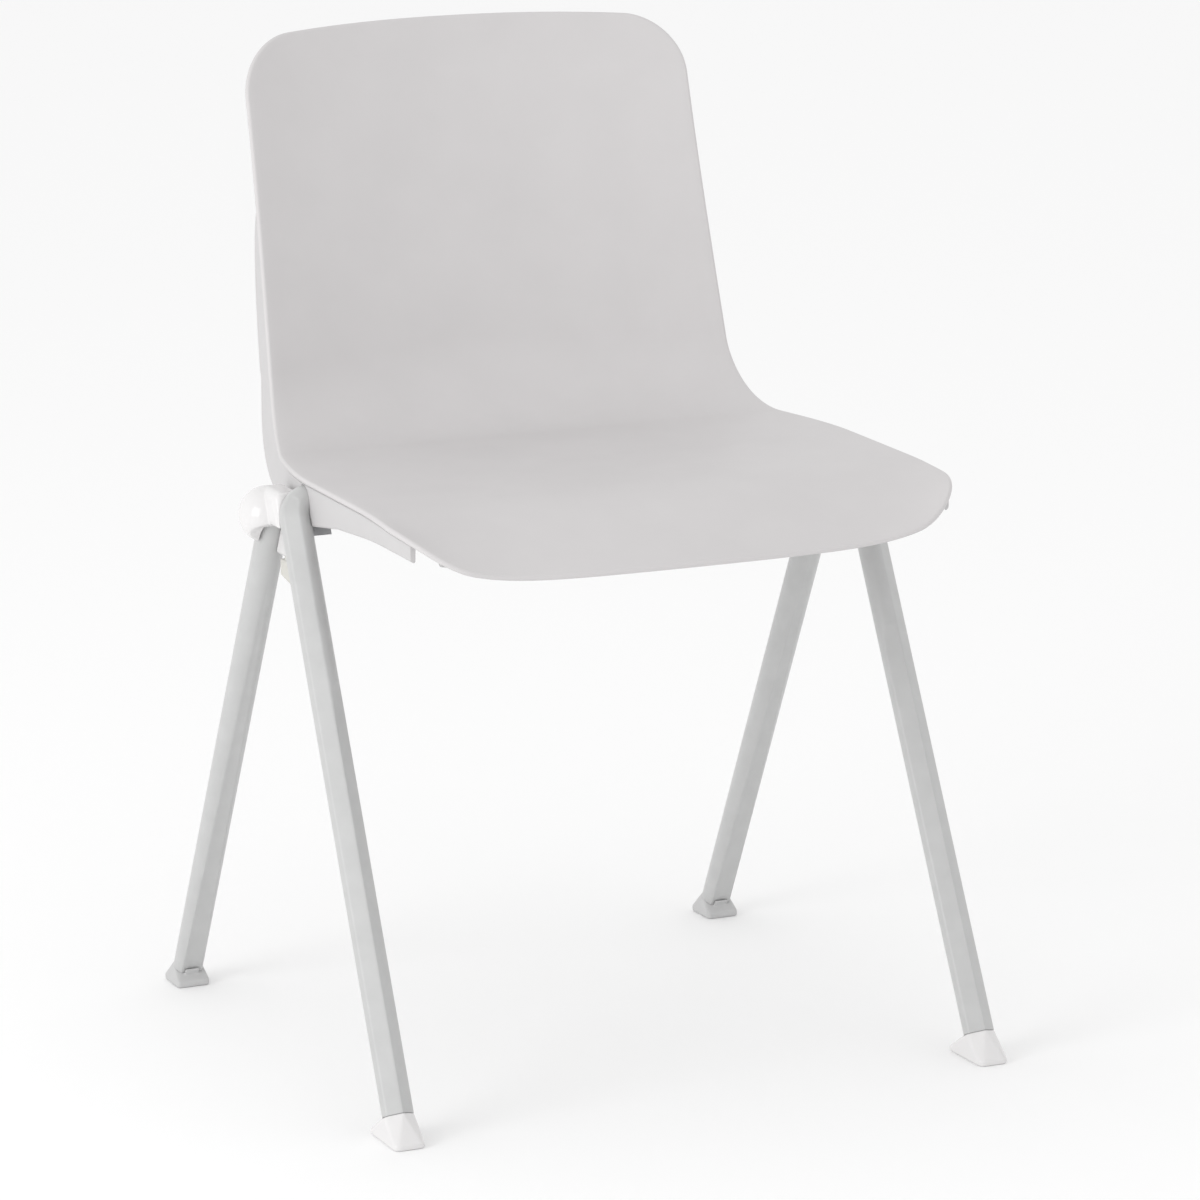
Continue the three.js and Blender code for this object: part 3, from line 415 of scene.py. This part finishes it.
FRONT = LegAxis(FRONT_FOOT_Y)
REAR = LegAxis(REAR_FOOT_Y)
BEND_START = float(FRONT_TUBE_Z / FRONT.direction[2] - BEND_R)
FRONT_TUBE_Y = float(FRONT.at_height(FRONT_TUBE_Z)[1])
HUB_Y = float(REAR.at_height(HUB_Z)[1])


def section_ring(centre, side, ahead, radius_at):
    angles = np.arange(SECTION_SIDES) / SECTION_SIDES * 2 * math.pi
    radii = np.array([radius_at(a) for a in angles])
    return centre + np.outer(radii * np.cos(angles), side) + np.outer(radii * np.sin(angles), ahead)


def soft_min(values, softness=0.16):
    """The smallest of the values, with the crease between two of them slightly rounded."""
    lowest = min(values)
    return lowest - softness * math.log(sum(math.exp((lowest - v) / softness) for v in values))


def flats_section(radius, outboard, inboard):
    flats = ((90 - FLAT_ANGLE, outboard), (90 + FLAT_ANGLE, inboard))

    def radius_at(angle):
        reach = [radius]
        for centre, share in flats:
            off = math.cos(angle - math.radians(centre))
            if off > 0.3:
                reach.append((radius - FLAT_CUT * share) / off)
        return soft_min(reach)
    return radius_at


def channel_section(radius, share):
    half = math.radians(CHANNEL_HALF) * share
    flat = LEG_R * math.cos(half) - (LEG_R - radius)

    def radius_at(angle):
        off = angle - math.pi / 2
        if share <= 0 or math.cos(off) <= 0:
            return radius
        chord = min(radius, flat / math.cos(off))
        hollow = max(0.0, 1 - (off / half) ** 2) ** 0.8
        return chord - CHANNEL_HOLLOW * share * hollow
    return radius_at


def arch(distance, end, reach):
    """How wide a pressed flat is near its rounded upper end: 0 above the end, 1 a reach below it."""
    below = (end - distance) / reach
    if below <= 0:
        return 0.0
    return math.sqrt(max(0.0, 1 - (1 - min(below, 1.0)) ** 2))


def loft_faces(ring_count, size, looped):
    faces = []
    spans = ring_count if looped else ring_count - 1
    for i in range(spans):
        here, there = i * size, ((i + 1) % ring_count) * size
        for j in range(size):
            k = (j + 1) % size
            faces.append((here + j, here + k, there + k, there + j))
    return faces


def tube_piece(name, outer, inner, node):
    """A tube wall from its outer and inner rings, closed at both ends."""
    rings = list(outer) + list(reversed(inner))
    points = leaned(np.concatenate(rings))
    faces = loft_faces(len(rings), SECTION_SIDES, True)
    add_pair(name, points, [tuple(reversed(f)) for f in faces], FRAME_PAINT, node)


def front_leg_rings(radius):
    """Straight tube with two pressed flats, then a quarter bend towards the middle."""
    flat_end = BEND_START + BEND_R * FLAT_TURN * math.pi / 2
    inner_end = INNER_FLAT_TOP_Z / FRONT.direction[2]
    start = FRONT_CAP_LENGTH + GAP

    def section(distance):
        outboard = arch(distance, flat_end, OUTER_FLAT_REACH)
        inboard = arch(distance, inner_end, INNER_FLAT_REACH)
        return flats_section(radius, outboard, inboard)

    marks = list(np.linspace(start, inner_end - INNER_FLAT_REACH, 24))
    marks += list(np.linspace(inner_end - INNER_FLAT_REACH + 1, inner_end + 1, 30))
    marks += list(np.linspace(inner_end + 4, BEND_START - 2, 16))
    rings = [section_ring(FRONT.at(d), X_AXIS, FRONT.ahead, section(d)) for d in marks]
    corner = FRONT.at(BEND_START) - X_AXIS * BEND_R
    for i in range(BEND_STEPS + 1):
        turn = i / BEND_STEPS * math.pi / 2
        side = X_AXIS * math.cos(turn) + FRONT.direction * math.sin(turn)
        distance = BEND_START + BEND_R * turn
        rings.append(section_ring(corner + side * BEND_R, side, FRONT.ahead, section(distance)))
    end = np.array([FRONT_LEG_END_X, FRONT_TUBE_Y, FRONT_TUBE_Z])
    rings.append(section_ring(end, FRONT.direction, FRONT.ahead, lambda angle: radius))
    return rings


def rear_leg_rings(radius):
    """Straight tube whose channel widens towards the foot, with a rounded top inside the hub."""
    channel_end = CHANNEL_TOP_Z / REAR.direction[2]
    start = REAR_CAP_LENGTH + GAP
    rings = []
    marks = list(np.linspace(start, channel_end, 90)) + [channel_end + 4]
    for d in marks:
        share = max(0.0, (channel_end - d) / (channel_end - start))
        opened = share * (1 - CHANNEL_ARCH_SHARE) + CHANNEL_ARCH_SHARE * arch(d, channel_end, CHANNEL_REACH)
        section = channel_section(radius, opened if share else 0)
        rings.append(section_ring(REAR.at(d), X_AXIS, REAR.ahead, section))
    top = REAR.at_height(HUB_Z)
    rings.append(section_ring(top, X_AXIS, REAR.ahead, lambda angle: radius))
    for i in range(1, TOP_STEPS):
        turn = i / TOP_STEPS * math.pi / 2
        ring = section_ring(top, X_AXIS, REAR.ahead, lambda angle: radius)
        ring = top + (ring - top) * np.array([1.0, math.cos(turn), math.cos(turn)])
        rings.append(ring + REAR.direction * radius * math.sin(turn))
    return rings


# ---- Side rails, front rib and bosses ------------------------------------------------------

def rail_section(s, depth, round_steps=6):
    """One section of the rail: a thin wall under the shell's rim with a rounded lower edge."""
    row = shell_row(s)
    out = np.array([0.0, row[4][0], row[4][1]])
    half = shell_half(s)
    corner = 0.7
    edge = min(RAIL_WALL, depth) / 2
    outer = shell_point(s, half - RAIL_INSET) + out * (SHELL_THICK + RAIL_CLEARANCE)
    inner = shell_point(s, half - RAIL_INSET - RAIL_WALL) + out * (SHELL_THICK + RAIL_CLEARANCE)
    middle = (outer + inner) / 2 + out * (depth - edge)
    across = unit(inner - outer)
    ring = [outer - X_AXIS * corner, inner]
    for k in range(round_steps + 1):
        angle = math.pi * k / round_steps
        ring.append(middle + RAIL_WALL / 2 * math.cos(angle) * across + edge * math.sin(angle) * out)
    ring.append(outer + out * corner * min(1.0, depth / RAIL_WALL))
    return ring


def rail_depth(y):
    if y < RAIL_KNEE_Y:
        return mix(RAIL_DEPTH_FRONT, RAIL_DEPTH_KNEE, (y - RAIL_FRONT_Y) / (RAIL_KNEE_Y - RAIL_FRONT_Y))
    f = min(1.0, (y - RAIL_KNEE_Y) / (RAIL_DEEP_Y - RAIL_KNEE_Y))
    return mix(RAIL_DEPTH_KNEE, RAIL_DEPTH_MIDDLE, f)


def rail_sections():
    sections = []
    seat_end = float(EDGE_LINE.seat_end[0])
    corner_end = SEAT_FRONT_Y + FRONT_CORNER_R
    places = list(np.linspace(RAIL_FRONT_Y, corner_end, 24))
    places += list(np.linspace(corner_end, seat_end, 60))[1:]
    for y in places:
        sections.append(rail_section(y - SEAT_FRONT_Y, rail_depth(y)))
    for f in np.linspace(0, 1, 30)[1:]:
        heel = RAIL_HEEL * math.sin(math.pi * f) ** RAIL_HEEL_POWER
        depth = mix(RAIL_DEPTH_MIDDLE, RAIL_DEPTH_BACK, f) + heel
        sections.append(rail_section(SEAT_LENGTH + BEND_LENGTH * f, depth))
    top = (RAIL_TOP_Z - EDGE_LINE.back_start[1]) / (EDGE["top_z"] - EDGE_LINE.back_start[1])
    for f in np.sin(np.linspace(0, math.pi / 2, 36))[1:]:
        depth = RAIL_DEPTH_BACK * math.sqrt(max(1 - f ** 2, 0)) + RAIL_TIP_DEPTH
        sections.append(rail_section(SEAT_LENGTH + BEND_LENGTH + BACK_LENGTH * f * top, depth))
    return sections


def bevelled_box(x0, x1, y0, y1, z0, z1, bevel):
    """The corner points of a box whose twelve edges are cut back."""
    points = []
    for x in (x0, x1):
        for y in (y0, y1):
            for z in (z0, z1):
                dx, dy, dz = (bevel if v == low else -bevel for v, low in ((x, x0), (y, y0), (z, z0)))
                points += [(x, y + dy, z + dz), (x + dx, y, z + dz), (x + dx, y + dy, z)]
    return points


def convex_piece(points):
    """The convex solid round a set of points."""
    piece = raw_piece("convex", points, [])
    shape = bmesh.new()
    shape.from_mesh(piece.data)
    bmesh.ops.convex_hull(shape, input=shape.verts)
    bmesh.ops.recalc_face_normals(shape, faces=shape.faces)
    shape.to_mesh(piece.data)
    shape.free()
    return piece


def leg_cutter(radius):
    """The room a front leg's bent top needs, as the CAD model leaves it."""
    straight = (CUTTER_START, BEND_START)
    rings = [section_ring(FRONT.at(d), X_AXIS, FRONT.ahead, lambda angle: radius) for d in straight]
    corner = FRONT.at(BEND_START) - X_AXIS * BEND_R
    for i in range(1, CUTTER_STEPS + 1):
        turn = i / CUTTER_STEPS * math.pi / 2
        side = X_AXIS * math.cos(turn) + FRONT.direction * math.sin(turn)
        rings.append(section_ring(corner + side * BEND_R, side, FRONT.ahead, lambda angle: radius))
    end = np.array([FRONT_LEG_END_X - GAP, FRONT_TUBE_Y, FRONT_TUBE_Z])
    rings.append(section_ring(end, FRONT.direction, FRONT.ahead, lambda angle: radius))
    faces = [tuple(reversed(f)) for f in loft_faces(len(rings), SECTION_SIDES, False)]
    faces.append(tuple(range(SECTION_SIDES)))
    faces.append(tuple((len(rings) - 1) * SECTION_SIDES + k for k in reversed(range(SECTION_SIDES))))
    return raw_piece("cutter", leaned(np.concatenate(rings)), faces)


CORE_CUTTER_AHEAD = 10.0  # in front of the front leg's axis


def core_cutter():
    """The room the metal core beside the rear cross tube needs."""
    radius = CORE_R + GAP
    points = []
    for x in (CORE_INNER_X - GAP, CORE_OUTER_X):
        for z in (HUB_Z - radius, HUB_Z + radius):
            points.append((x, float(FRONT.at_height(z)[1]) - CORE_CUTTER_AHEAD, z))
        for k in range(CUTTER_STEPS + 1):
            angle = -math.pi / 2 + math.pi * k / CUTTER_STEPS
            points.append((x, HUB_Y + radius * math.cos(angle), HUB_Z + radius * math.sin(angle)))
    return convex_piece(leaned(points))


UNDERSIDE_STEPS = 5


def underside_z(x, y):
    """Height of the shell's underside at a place in plan, found by stepping towards its row."""
    s = y - SEAT_FRONT_Y
    point = shell_point(s, x)
    for _ in range(UNDERSIDE_STEPS):
        s += y - point[1]
        point = shell_point(s, x)
    return float(point[2]) - SHELL_THICK


def boss_low(x, y):
    return underside_z(x, y) - BOSS_DEPTH


def side_rail():
    sections = rail_sections()
    size = len(sections[0])
    faces = loft_faces(len(sections), size, False)
    faces += [tuple(reversed(range(size))), tuple((len(sections) - 1) * size + k for k in range(size))]
    rail = raw_piece("side_rail_left", np.concatenate(sections), faces, RAIL_PLASTIC)
    fix_normals(rail)
    inboard = []
    corners = []
    for y in (BLOCK["front"], BLOCK["back"]):
        outer = shell_half(y - SEAT_FRONT_Y) - RAIL_INSET - RAIL_WALL / 2
        corners.append(outer)
    block = bevelled_box(
        BLOCK["inner"], min(corners), BLOCK["front"], BLOCK["back"], BLOCK["low"], BLOCK["top"], BLOCK_BEVEL)
    inboard.append(convex_piece(block))
    holes = []
    for y in SHELL_SCREW_Y:
        top = boss_low(SHELL_SCREW_X, y) - GAP
        reach = shell_half(y - SEAT_FRONT_Y) - RAIL_INSET - RAIL_WALL / 2
        inner, half = SHELL_SCREW_X - RAIL_TAB["inner"], RAIL_TAB["half_length"]
        tab = bevelled_box(inner, reach, y - half, y + half, top - TAB_THICK, top, TAB_BEVEL)
        inboard.append(convex_piece(tab))
        holes.append(rod(2, SCREW_HOLE_R, top - 2 * TAB_THICK, top + 1, (SHELL_SCREW_X, y), HOLE_SIDES))
    combine(rail, inboard, "UNION")
    for y, z in ((FRONT_TUBE_Y, FRONT_TUBE_Z), (HUB_Y, HUB_Z)):
        holes.append(rod(0, CROSS_R + GAP, BLOCK["inner"] - 10, LEG_X, (y, z), TUBE_HOLE_SIDES))
    combine(rail, holes + [leg_cutter(LEG_R + GAP), core_cutter()], "DIFFERENCE")
    enlist(rail, ["side_rail_left"])
    twin = bpy.data.objects.new("side_rail_right", mirrored_mesh(rail.data))
    bpy.context.scene.collection.objects.link(twin)
    enlist(twin, ["side_rail_right"])


def mirrored_mesh(mesh):
    copy = mesh.copy()
    copy.transform(Matrix.Scale(-1, 4, (1, 0, 0)))
    copy.flip_normals()
    return copy


def fix_normals(piece):
    shape = bmesh.new()
    shape.from_mesh(piece.data)
    bmesh.ops.recalc_face_normals(shape, faces=shape.faces)
    shape.to_mesh(piece.data)
    shape.free()


def rib_section(x):
    """A section of the front rib with a rounded lower edge, hung under the shell."""
    half = RIB_THICK / 2
    tops = [(x, y, underside_z(x, y) - RAIL_CLEARANCE - GAP) for y in (RIB_Y - half, RIB_Y + half)]
    low = min(tops[0][2], tops[1][2]) - RIB_DEPTH
    ring = [tops[0], tops[1]]
    for k in range(9):
        angle = math.pi * k / 8
        ring.append((x, RIB_Y + half * math.cos(angle), low + half * (1 - math.sin(angle))))
    return ring


def front_rib():
    ends = np.sin(np.linspace(-1, 1, 61) * math.pi / 2) * RIB_HALF
    sections = [rib_section(float(x)) for x in ends]
    size = len(sections[0])
    faces = loft_faces(len(sections), size, False)
    faces += [tuple(reversed(range(size))), tuple((len(sections) - 1) * size + k for k in range(size))]
    rib = raw_piece("front_cross_rib", np.concatenate(sections), faces, RIB_PLASTIC_PAINTED_SHADE)
    fix_normals(rib)
    y = RIB_Y + RIB_SCREW_SETBACK
    top = boss_low(RIB_SCREW_X, y) - GAP
    tabs, holes = [], []
    for x in (RIB_SCREW_X, -RIB_SCREW_X):
        half, beyond = RIB_TAB["half_width"], RIB_TAB["beyond"]
        tab = bevelled_box(x - half, x + half, RIB_Y, y + beyond, top - TAB_THICK, top, TAB_BEVEL)
        tabs.append(convex_piece(tab))
        holes.append(rod(2, SCREW_HOLE_R, top - 2 * TAB_THICK, top + 1, (x, y), HOLE_SIDES))
    combine(rib, tabs, "UNION")
    combine(rib, holes, "DIFFERENCE")
    enlist(rib, ["front_cross_rib"])


def seat_shell():
    shell = shell_piece(SHELL_PLASTIC)
    spots = [(SHELL_SCREW_X, y) for y in SHELL_SCREW_Y] + [(RIB_SCREW_X, RIB_Y + RIB_SCREW_SETBACK)]
    bosses, holes = [], []
    for spot_x, y in spots:
        for x in (spot_x, -spot_x):
            low = boss_low(x, y)
            bosses.append(rod(2, BOSS_R, low, low + BOSS_DEPTH, (x, y), BOSS_SIDES, flare=BOSS_FILLET))
            holes.append(rod(2, SCREW_HOLE_R, low - 1, low + BOSS_DEPTH, (x, y), HOLE_SIDES))
    combine(shell, bosses, "UNION")
    combine(shell, holes, "DIFFERENCE")
    enlist(shell, ["seat_shell"])


# ---- Moulded pieces, rounded off from their CAD solids --------------------------------------

def softened(name, material, rounds, voxel=0.6):
    """A copy of a CAD node with its crisp edges rounded, as a moulding's are. It stands for the node."""
    bpy.context.view_layer.update()
    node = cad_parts[name]
    mesh = node.data.copy()
    mesh.transform(node.matrix_world)
    mesh.materials.clear()
    mesh.materials.append(material)
    piece = bpy.data.objects.new(name + "_moulded", mesh)
    bpy.context.scene.collection.objects.link(piece)
    remesh = piece.modifiers.new("remesh", "REMESH")
    remesh.mode = "VOXEL"
    remesh.voxel_size = voxel * MM
    smooth = piece.modifiers.new("smooth", "SMOOTH")
    smooth.factor = 0.5
    smooth.iterations = rounds
    bake(piece)
    if not piece.data.materials:
        piece.data.materials.append(material)
    enlist(piece, [name], crease=70)


# ---- Materials -----------------------------------------------------------------------------

def new_material(name, color, roughness, **sockets):
    material = bpy.data.materials.new(name)
    material.use_nodes = True
    shader = material.node_tree.nodes["Principled BSDF"]
    shader.inputs["Base Color"].default_value = (*color, 1)
    shader.inputs["Roughness"].default_value = roughness
    for socket, value in sockets.items():
        shader.inputs[socket.replace("_", " ")].default_value = value
    return material


def noise(nodes, links, coordinates, scale, detail=2.0):
    texture = nodes.new("ShaderNodeTexNoise")
    texture.inputs["Scale"].default_value = scale
    texture.inputs["Detail"].default_value = detail
    links.new(coordinates, texture.inputs["Vector"])
    return texture.outputs["Fac"]


def add_surface(material, color, spread, mottle_scale, roughness, rough_spread, grain_scale, grain_mm):
    """Colour mottle, roughness variation and a fine grain, all from object-space noise."""
    nodes, links = material.node_tree.nodes, material.node_tree.links
    shader = nodes["Principled BSDF"]
    place = nodes.new("ShaderNodeTexCoord").outputs["Object"]
    ramp = nodes.new("ShaderNodeValToRGB")
    ramp.color_ramp.elements[0].position = 0.3
    ramp.color_ramp.elements[1].position = 0.7
    ramp.color_ramp.elements[0].color = (*[c * (1 - spread) for c in color], 1)
    ramp.color_ramp.elements[1].color = (*[min(1, c * (1 + spread)) for c in color], 1)
    links.new(noise(nodes, links, place, mottle_scale, 5.0), ramp.inputs["Fac"])
    links.new(ramp.outputs["Color"], shader.inputs["Base Color"])
    shine = nodes.new("ShaderNodeMapRange")
    shine.inputs["To Min"].default_value = roughness - rough_spread
    shine.inputs["To Max"].default_value = roughness + rough_spread
    links.new(noise(nodes, links, place, mottle_scale * 3, 4.0), shine.inputs["Value"])
    links.new(shine.outputs["Result"], shader.inputs["Roughness"])
    bump = nodes.new("ShaderNodeBump")
    bump.inputs["Strength"].default_value = 1.0
    bump.inputs["Distance"].default_value = grain_mm * MM
    links.new(noise(nodes, links, place, grain_scale, 3.0), bump.inputs["Height"])
    links.new(bump.outputs["Normal"], shader.inputs["Normal"])
    return material


ROUGH_SPREAD = 0.05


def finish(name, color, roughness, spread=0.02, mottle=18, grain=1400, grain_mm=0.03, **sockets):
    material = new_material(name, color, roughness, **sockets)
    return add_surface(material, color, spread, mottle, roughness, ROUGH_SPREAD, grain, grain_mm)


SHELL_PLASTIC = finish("shell_plastic", (0.610, 0.594, 0.596), 0.55, spread=0.015, grain=1600, grain_mm=0.05)
RAIL_PLASTIC = finish("rail_plastic", (0.550, 0.540, 0.542), 0.50, spread=0.015, grain=1600, grain_mm=0.05)
# The rib is the same moulding as the rails, but its colour is darker: painted shade for the rib's shaded
# front face.
RIB_PLASTIC_PAINTED_SHADE = finish("rib_plastic_painted_shade", (0.480, 0.475, 0.475), 0.55, grain=1600, grain_mm=0.05)
FRAME_PAINT = finish("frame_paint", (0.500, 0.502, 0.500), 0.30, spread=0.03, mottle=60,
                     grain=2200, grain_mm=0.02)
WHITE_GLOSS = finish("white_gloss", (0.73, 0.72, 0.72), 0.16, spread=0.008, grain=500, grain_mm=0.01)
# The bumper is the hub's white plastic, darkened to a cream grey: painted shade.
BUMPER_WHITE_PAINTED_SHADE = finish("bumper_plastic_painted_shade", (0.60, 0.59, 0.55), 0.40, spread=0.02)
FOOT_GREY = finish("foot_plastic", (0.52, 0.52, 0.52), 0.45, spread=0.03)
CAST_ALLOY = finish("cast_alloy", (0.55, 0.56, 0.57), 0.42, Metallic=1.0)
ZINC = finish("zinc", (0.62, 0.62, 0.60), 0.32, Metallic=1.0, spread=0.06, mottle=400)


# ---- Pieces --------------------------------------------------------------------------------

seat_shell()
side_rail()
front_rib()
tube_piece("front_leg", front_leg_rings(LEG_R), front_leg_rings(LEG_R - LEG_WALL), "front_leg")
tube_piece("rear_leg", rear_leg_rings(LEG_R), rear_leg_rings(LEG_R - LEG_WALL), "rear_leg")
for side in ("_left", "_right"):
    softened("hub_cover" + side, WHITE_GLOSS, rounds=14)
    softened("stacking_bumper" + side, BUMPER_WHITE_PAINTED_SHADE, voxel=0.4, rounds=8)
    softened("front_foot" + side, WHITE_GLOSS, rounds=8)
    softened("rear_foot" + side, FOOT_GREY, rounds=8)
    softened("saddle_clamp" + side, RAIL_PLASTIC, rounds=6)

CARRIED_OVER = {
    "front_cross_tube": FRAME_PAINT,
    "rear_cross_tube": FRAME_PAINT,
    "hub_core": CAST_ALLOY,
    "clamp_screw": ZINC,
    "shell_screw": ZINC,
    "rib_screw": ZINC,
}


def dress_carried_nodes():
    for name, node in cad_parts.items():
        for stem, material in CARRIED_OVER.items():
            if name.startswith(stem):
                node.data.materials.clear()
                node.data.materials.append(material)


dress_carried_nodes()


# ---- Floor, light and camera ---------------------------------------------------------------

FLOOR_SIZE = 40.0


def build_floor():
    bpy.ops.mesh.primitive_plane_add(size=FLOOR_SIZE, location=(0, 0, 0))
    floor = bpy.context.object
    floor.name = "floor"
    material = new_material("floor_paper", (0.97, 0.97, 0.97), 0.9)
    floor.data.materials.append(material)


STUDIO_LEVEL = 0.94
BACKDROP_LEVEL = 1.04
BACKDROP_FADE = (0.2, 0.8)  # how far a direction points to +Y where the fade starts and ends


def build_world():
    """A white studio whose backdrop, behind the chair, is lit more brightly than the rest."""
    world = bpy.data.worlds.new("studio")
    bpy.context.scene.world = world
    world.use_nodes = True
    nodes, links = world.node_tree.nodes, world.node_tree.links
    direction = nodes.new("ShaderNodeTexCoord").outputs["Generated"]
    split = nodes.new("ShaderNodeSeparateXYZ")
    links.new(direction, split.inputs["Vector"])
    level = nodes.new("ShaderNodeMapRange")
    level.inputs["From Min"].default_value = BACKDROP_FADE[0]
    level.inputs["From Max"].default_value = BACKDROP_FADE[1]
    level.inputs["To Min"].default_value = STUDIO_LEVEL
    level.inputs["To Max"].default_value = BACKDROP_LEVEL
    links.new(split.outputs["Y"], level.inputs["Value"])
    nodes["Background"].inputs["Color"].default_value = (1, 1, 1, 1)
    links.new(level.outputs["Result"], nodes["Background"].inputs["Strength"])


def direction_to(azimuth, elevation):
    """A direction away from the chair; azimuth 0 is straight in front and turns towards +X."""
    a, e = math.radians(azimuth), math.radians(elevation)
    return Vector((math.sin(a) * math.cos(e), -math.cos(a) * math.cos(e), math.sin(e)))


LIGHT_AIM = Vector((0, 0, 0.45))


def add_area(name, azimuth, elevation, distance, size, energy):
    """A soft light aimed at the middle of the chair."""
    light = bpy.data.lights.new(name, "AREA")
    light.shape = "RECTANGLE"
    light.size, light.size_y = size
    light.energy = energy
    lamp = bpy.data.objects.new(name, light)
    bpy.context.scene.collection.objects.link(lamp)
    back = direction_to(azimuth, elevation)
    lamp.location = LIGHT_AIM + back * distance
    lamp.rotation_mode = "QUATERNION"
    lamp.rotation_quaternion = back.to_track_quat("Z", "Y")


CAMERA_AZIMUTH = -23.925
CAMERA_ELEVATION = 12.155
CAMERA_DISTANCE = 4.360
CAMERA_TARGET = Vector((0.0238, -0.0100, 0.3431))
CAMERA_ROLL = -0.63
CAMERA_LENS = 166.38


def build_camera():
    camera = bpy.data.cameras.new("camera")
    camera.lens = CAMERA_LENS
    camera.sensor_width = 36.0
    camera.clip_end = 100.0
    holder = bpy.data.objects.new("camera", camera)
    bpy.context.scene.collection.objects.link(holder)
    back = direction_to(CAMERA_AZIMUTH, CAMERA_ELEVATION)
    holder.location = CAMERA_TARGET + back * CAMERA_DISTANCE
    holder.rotation_mode = "QUATERNION"
    aim = back.to_track_quat("Z", "Y")
    roll = Matrix.Rotation(math.radians(CAMERA_ROLL), 4, "Z").to_quaternion()
    holder.rotation_quaternion = aim @ roll
    bpy.context.scene.camera = holder


build_floor()
build_world()
add_area("key", -72, 14, 3.4, (1.8, 1.8), 34)
build_camera()
bpy.context.scene.view_settings.view_transform = "Standard"
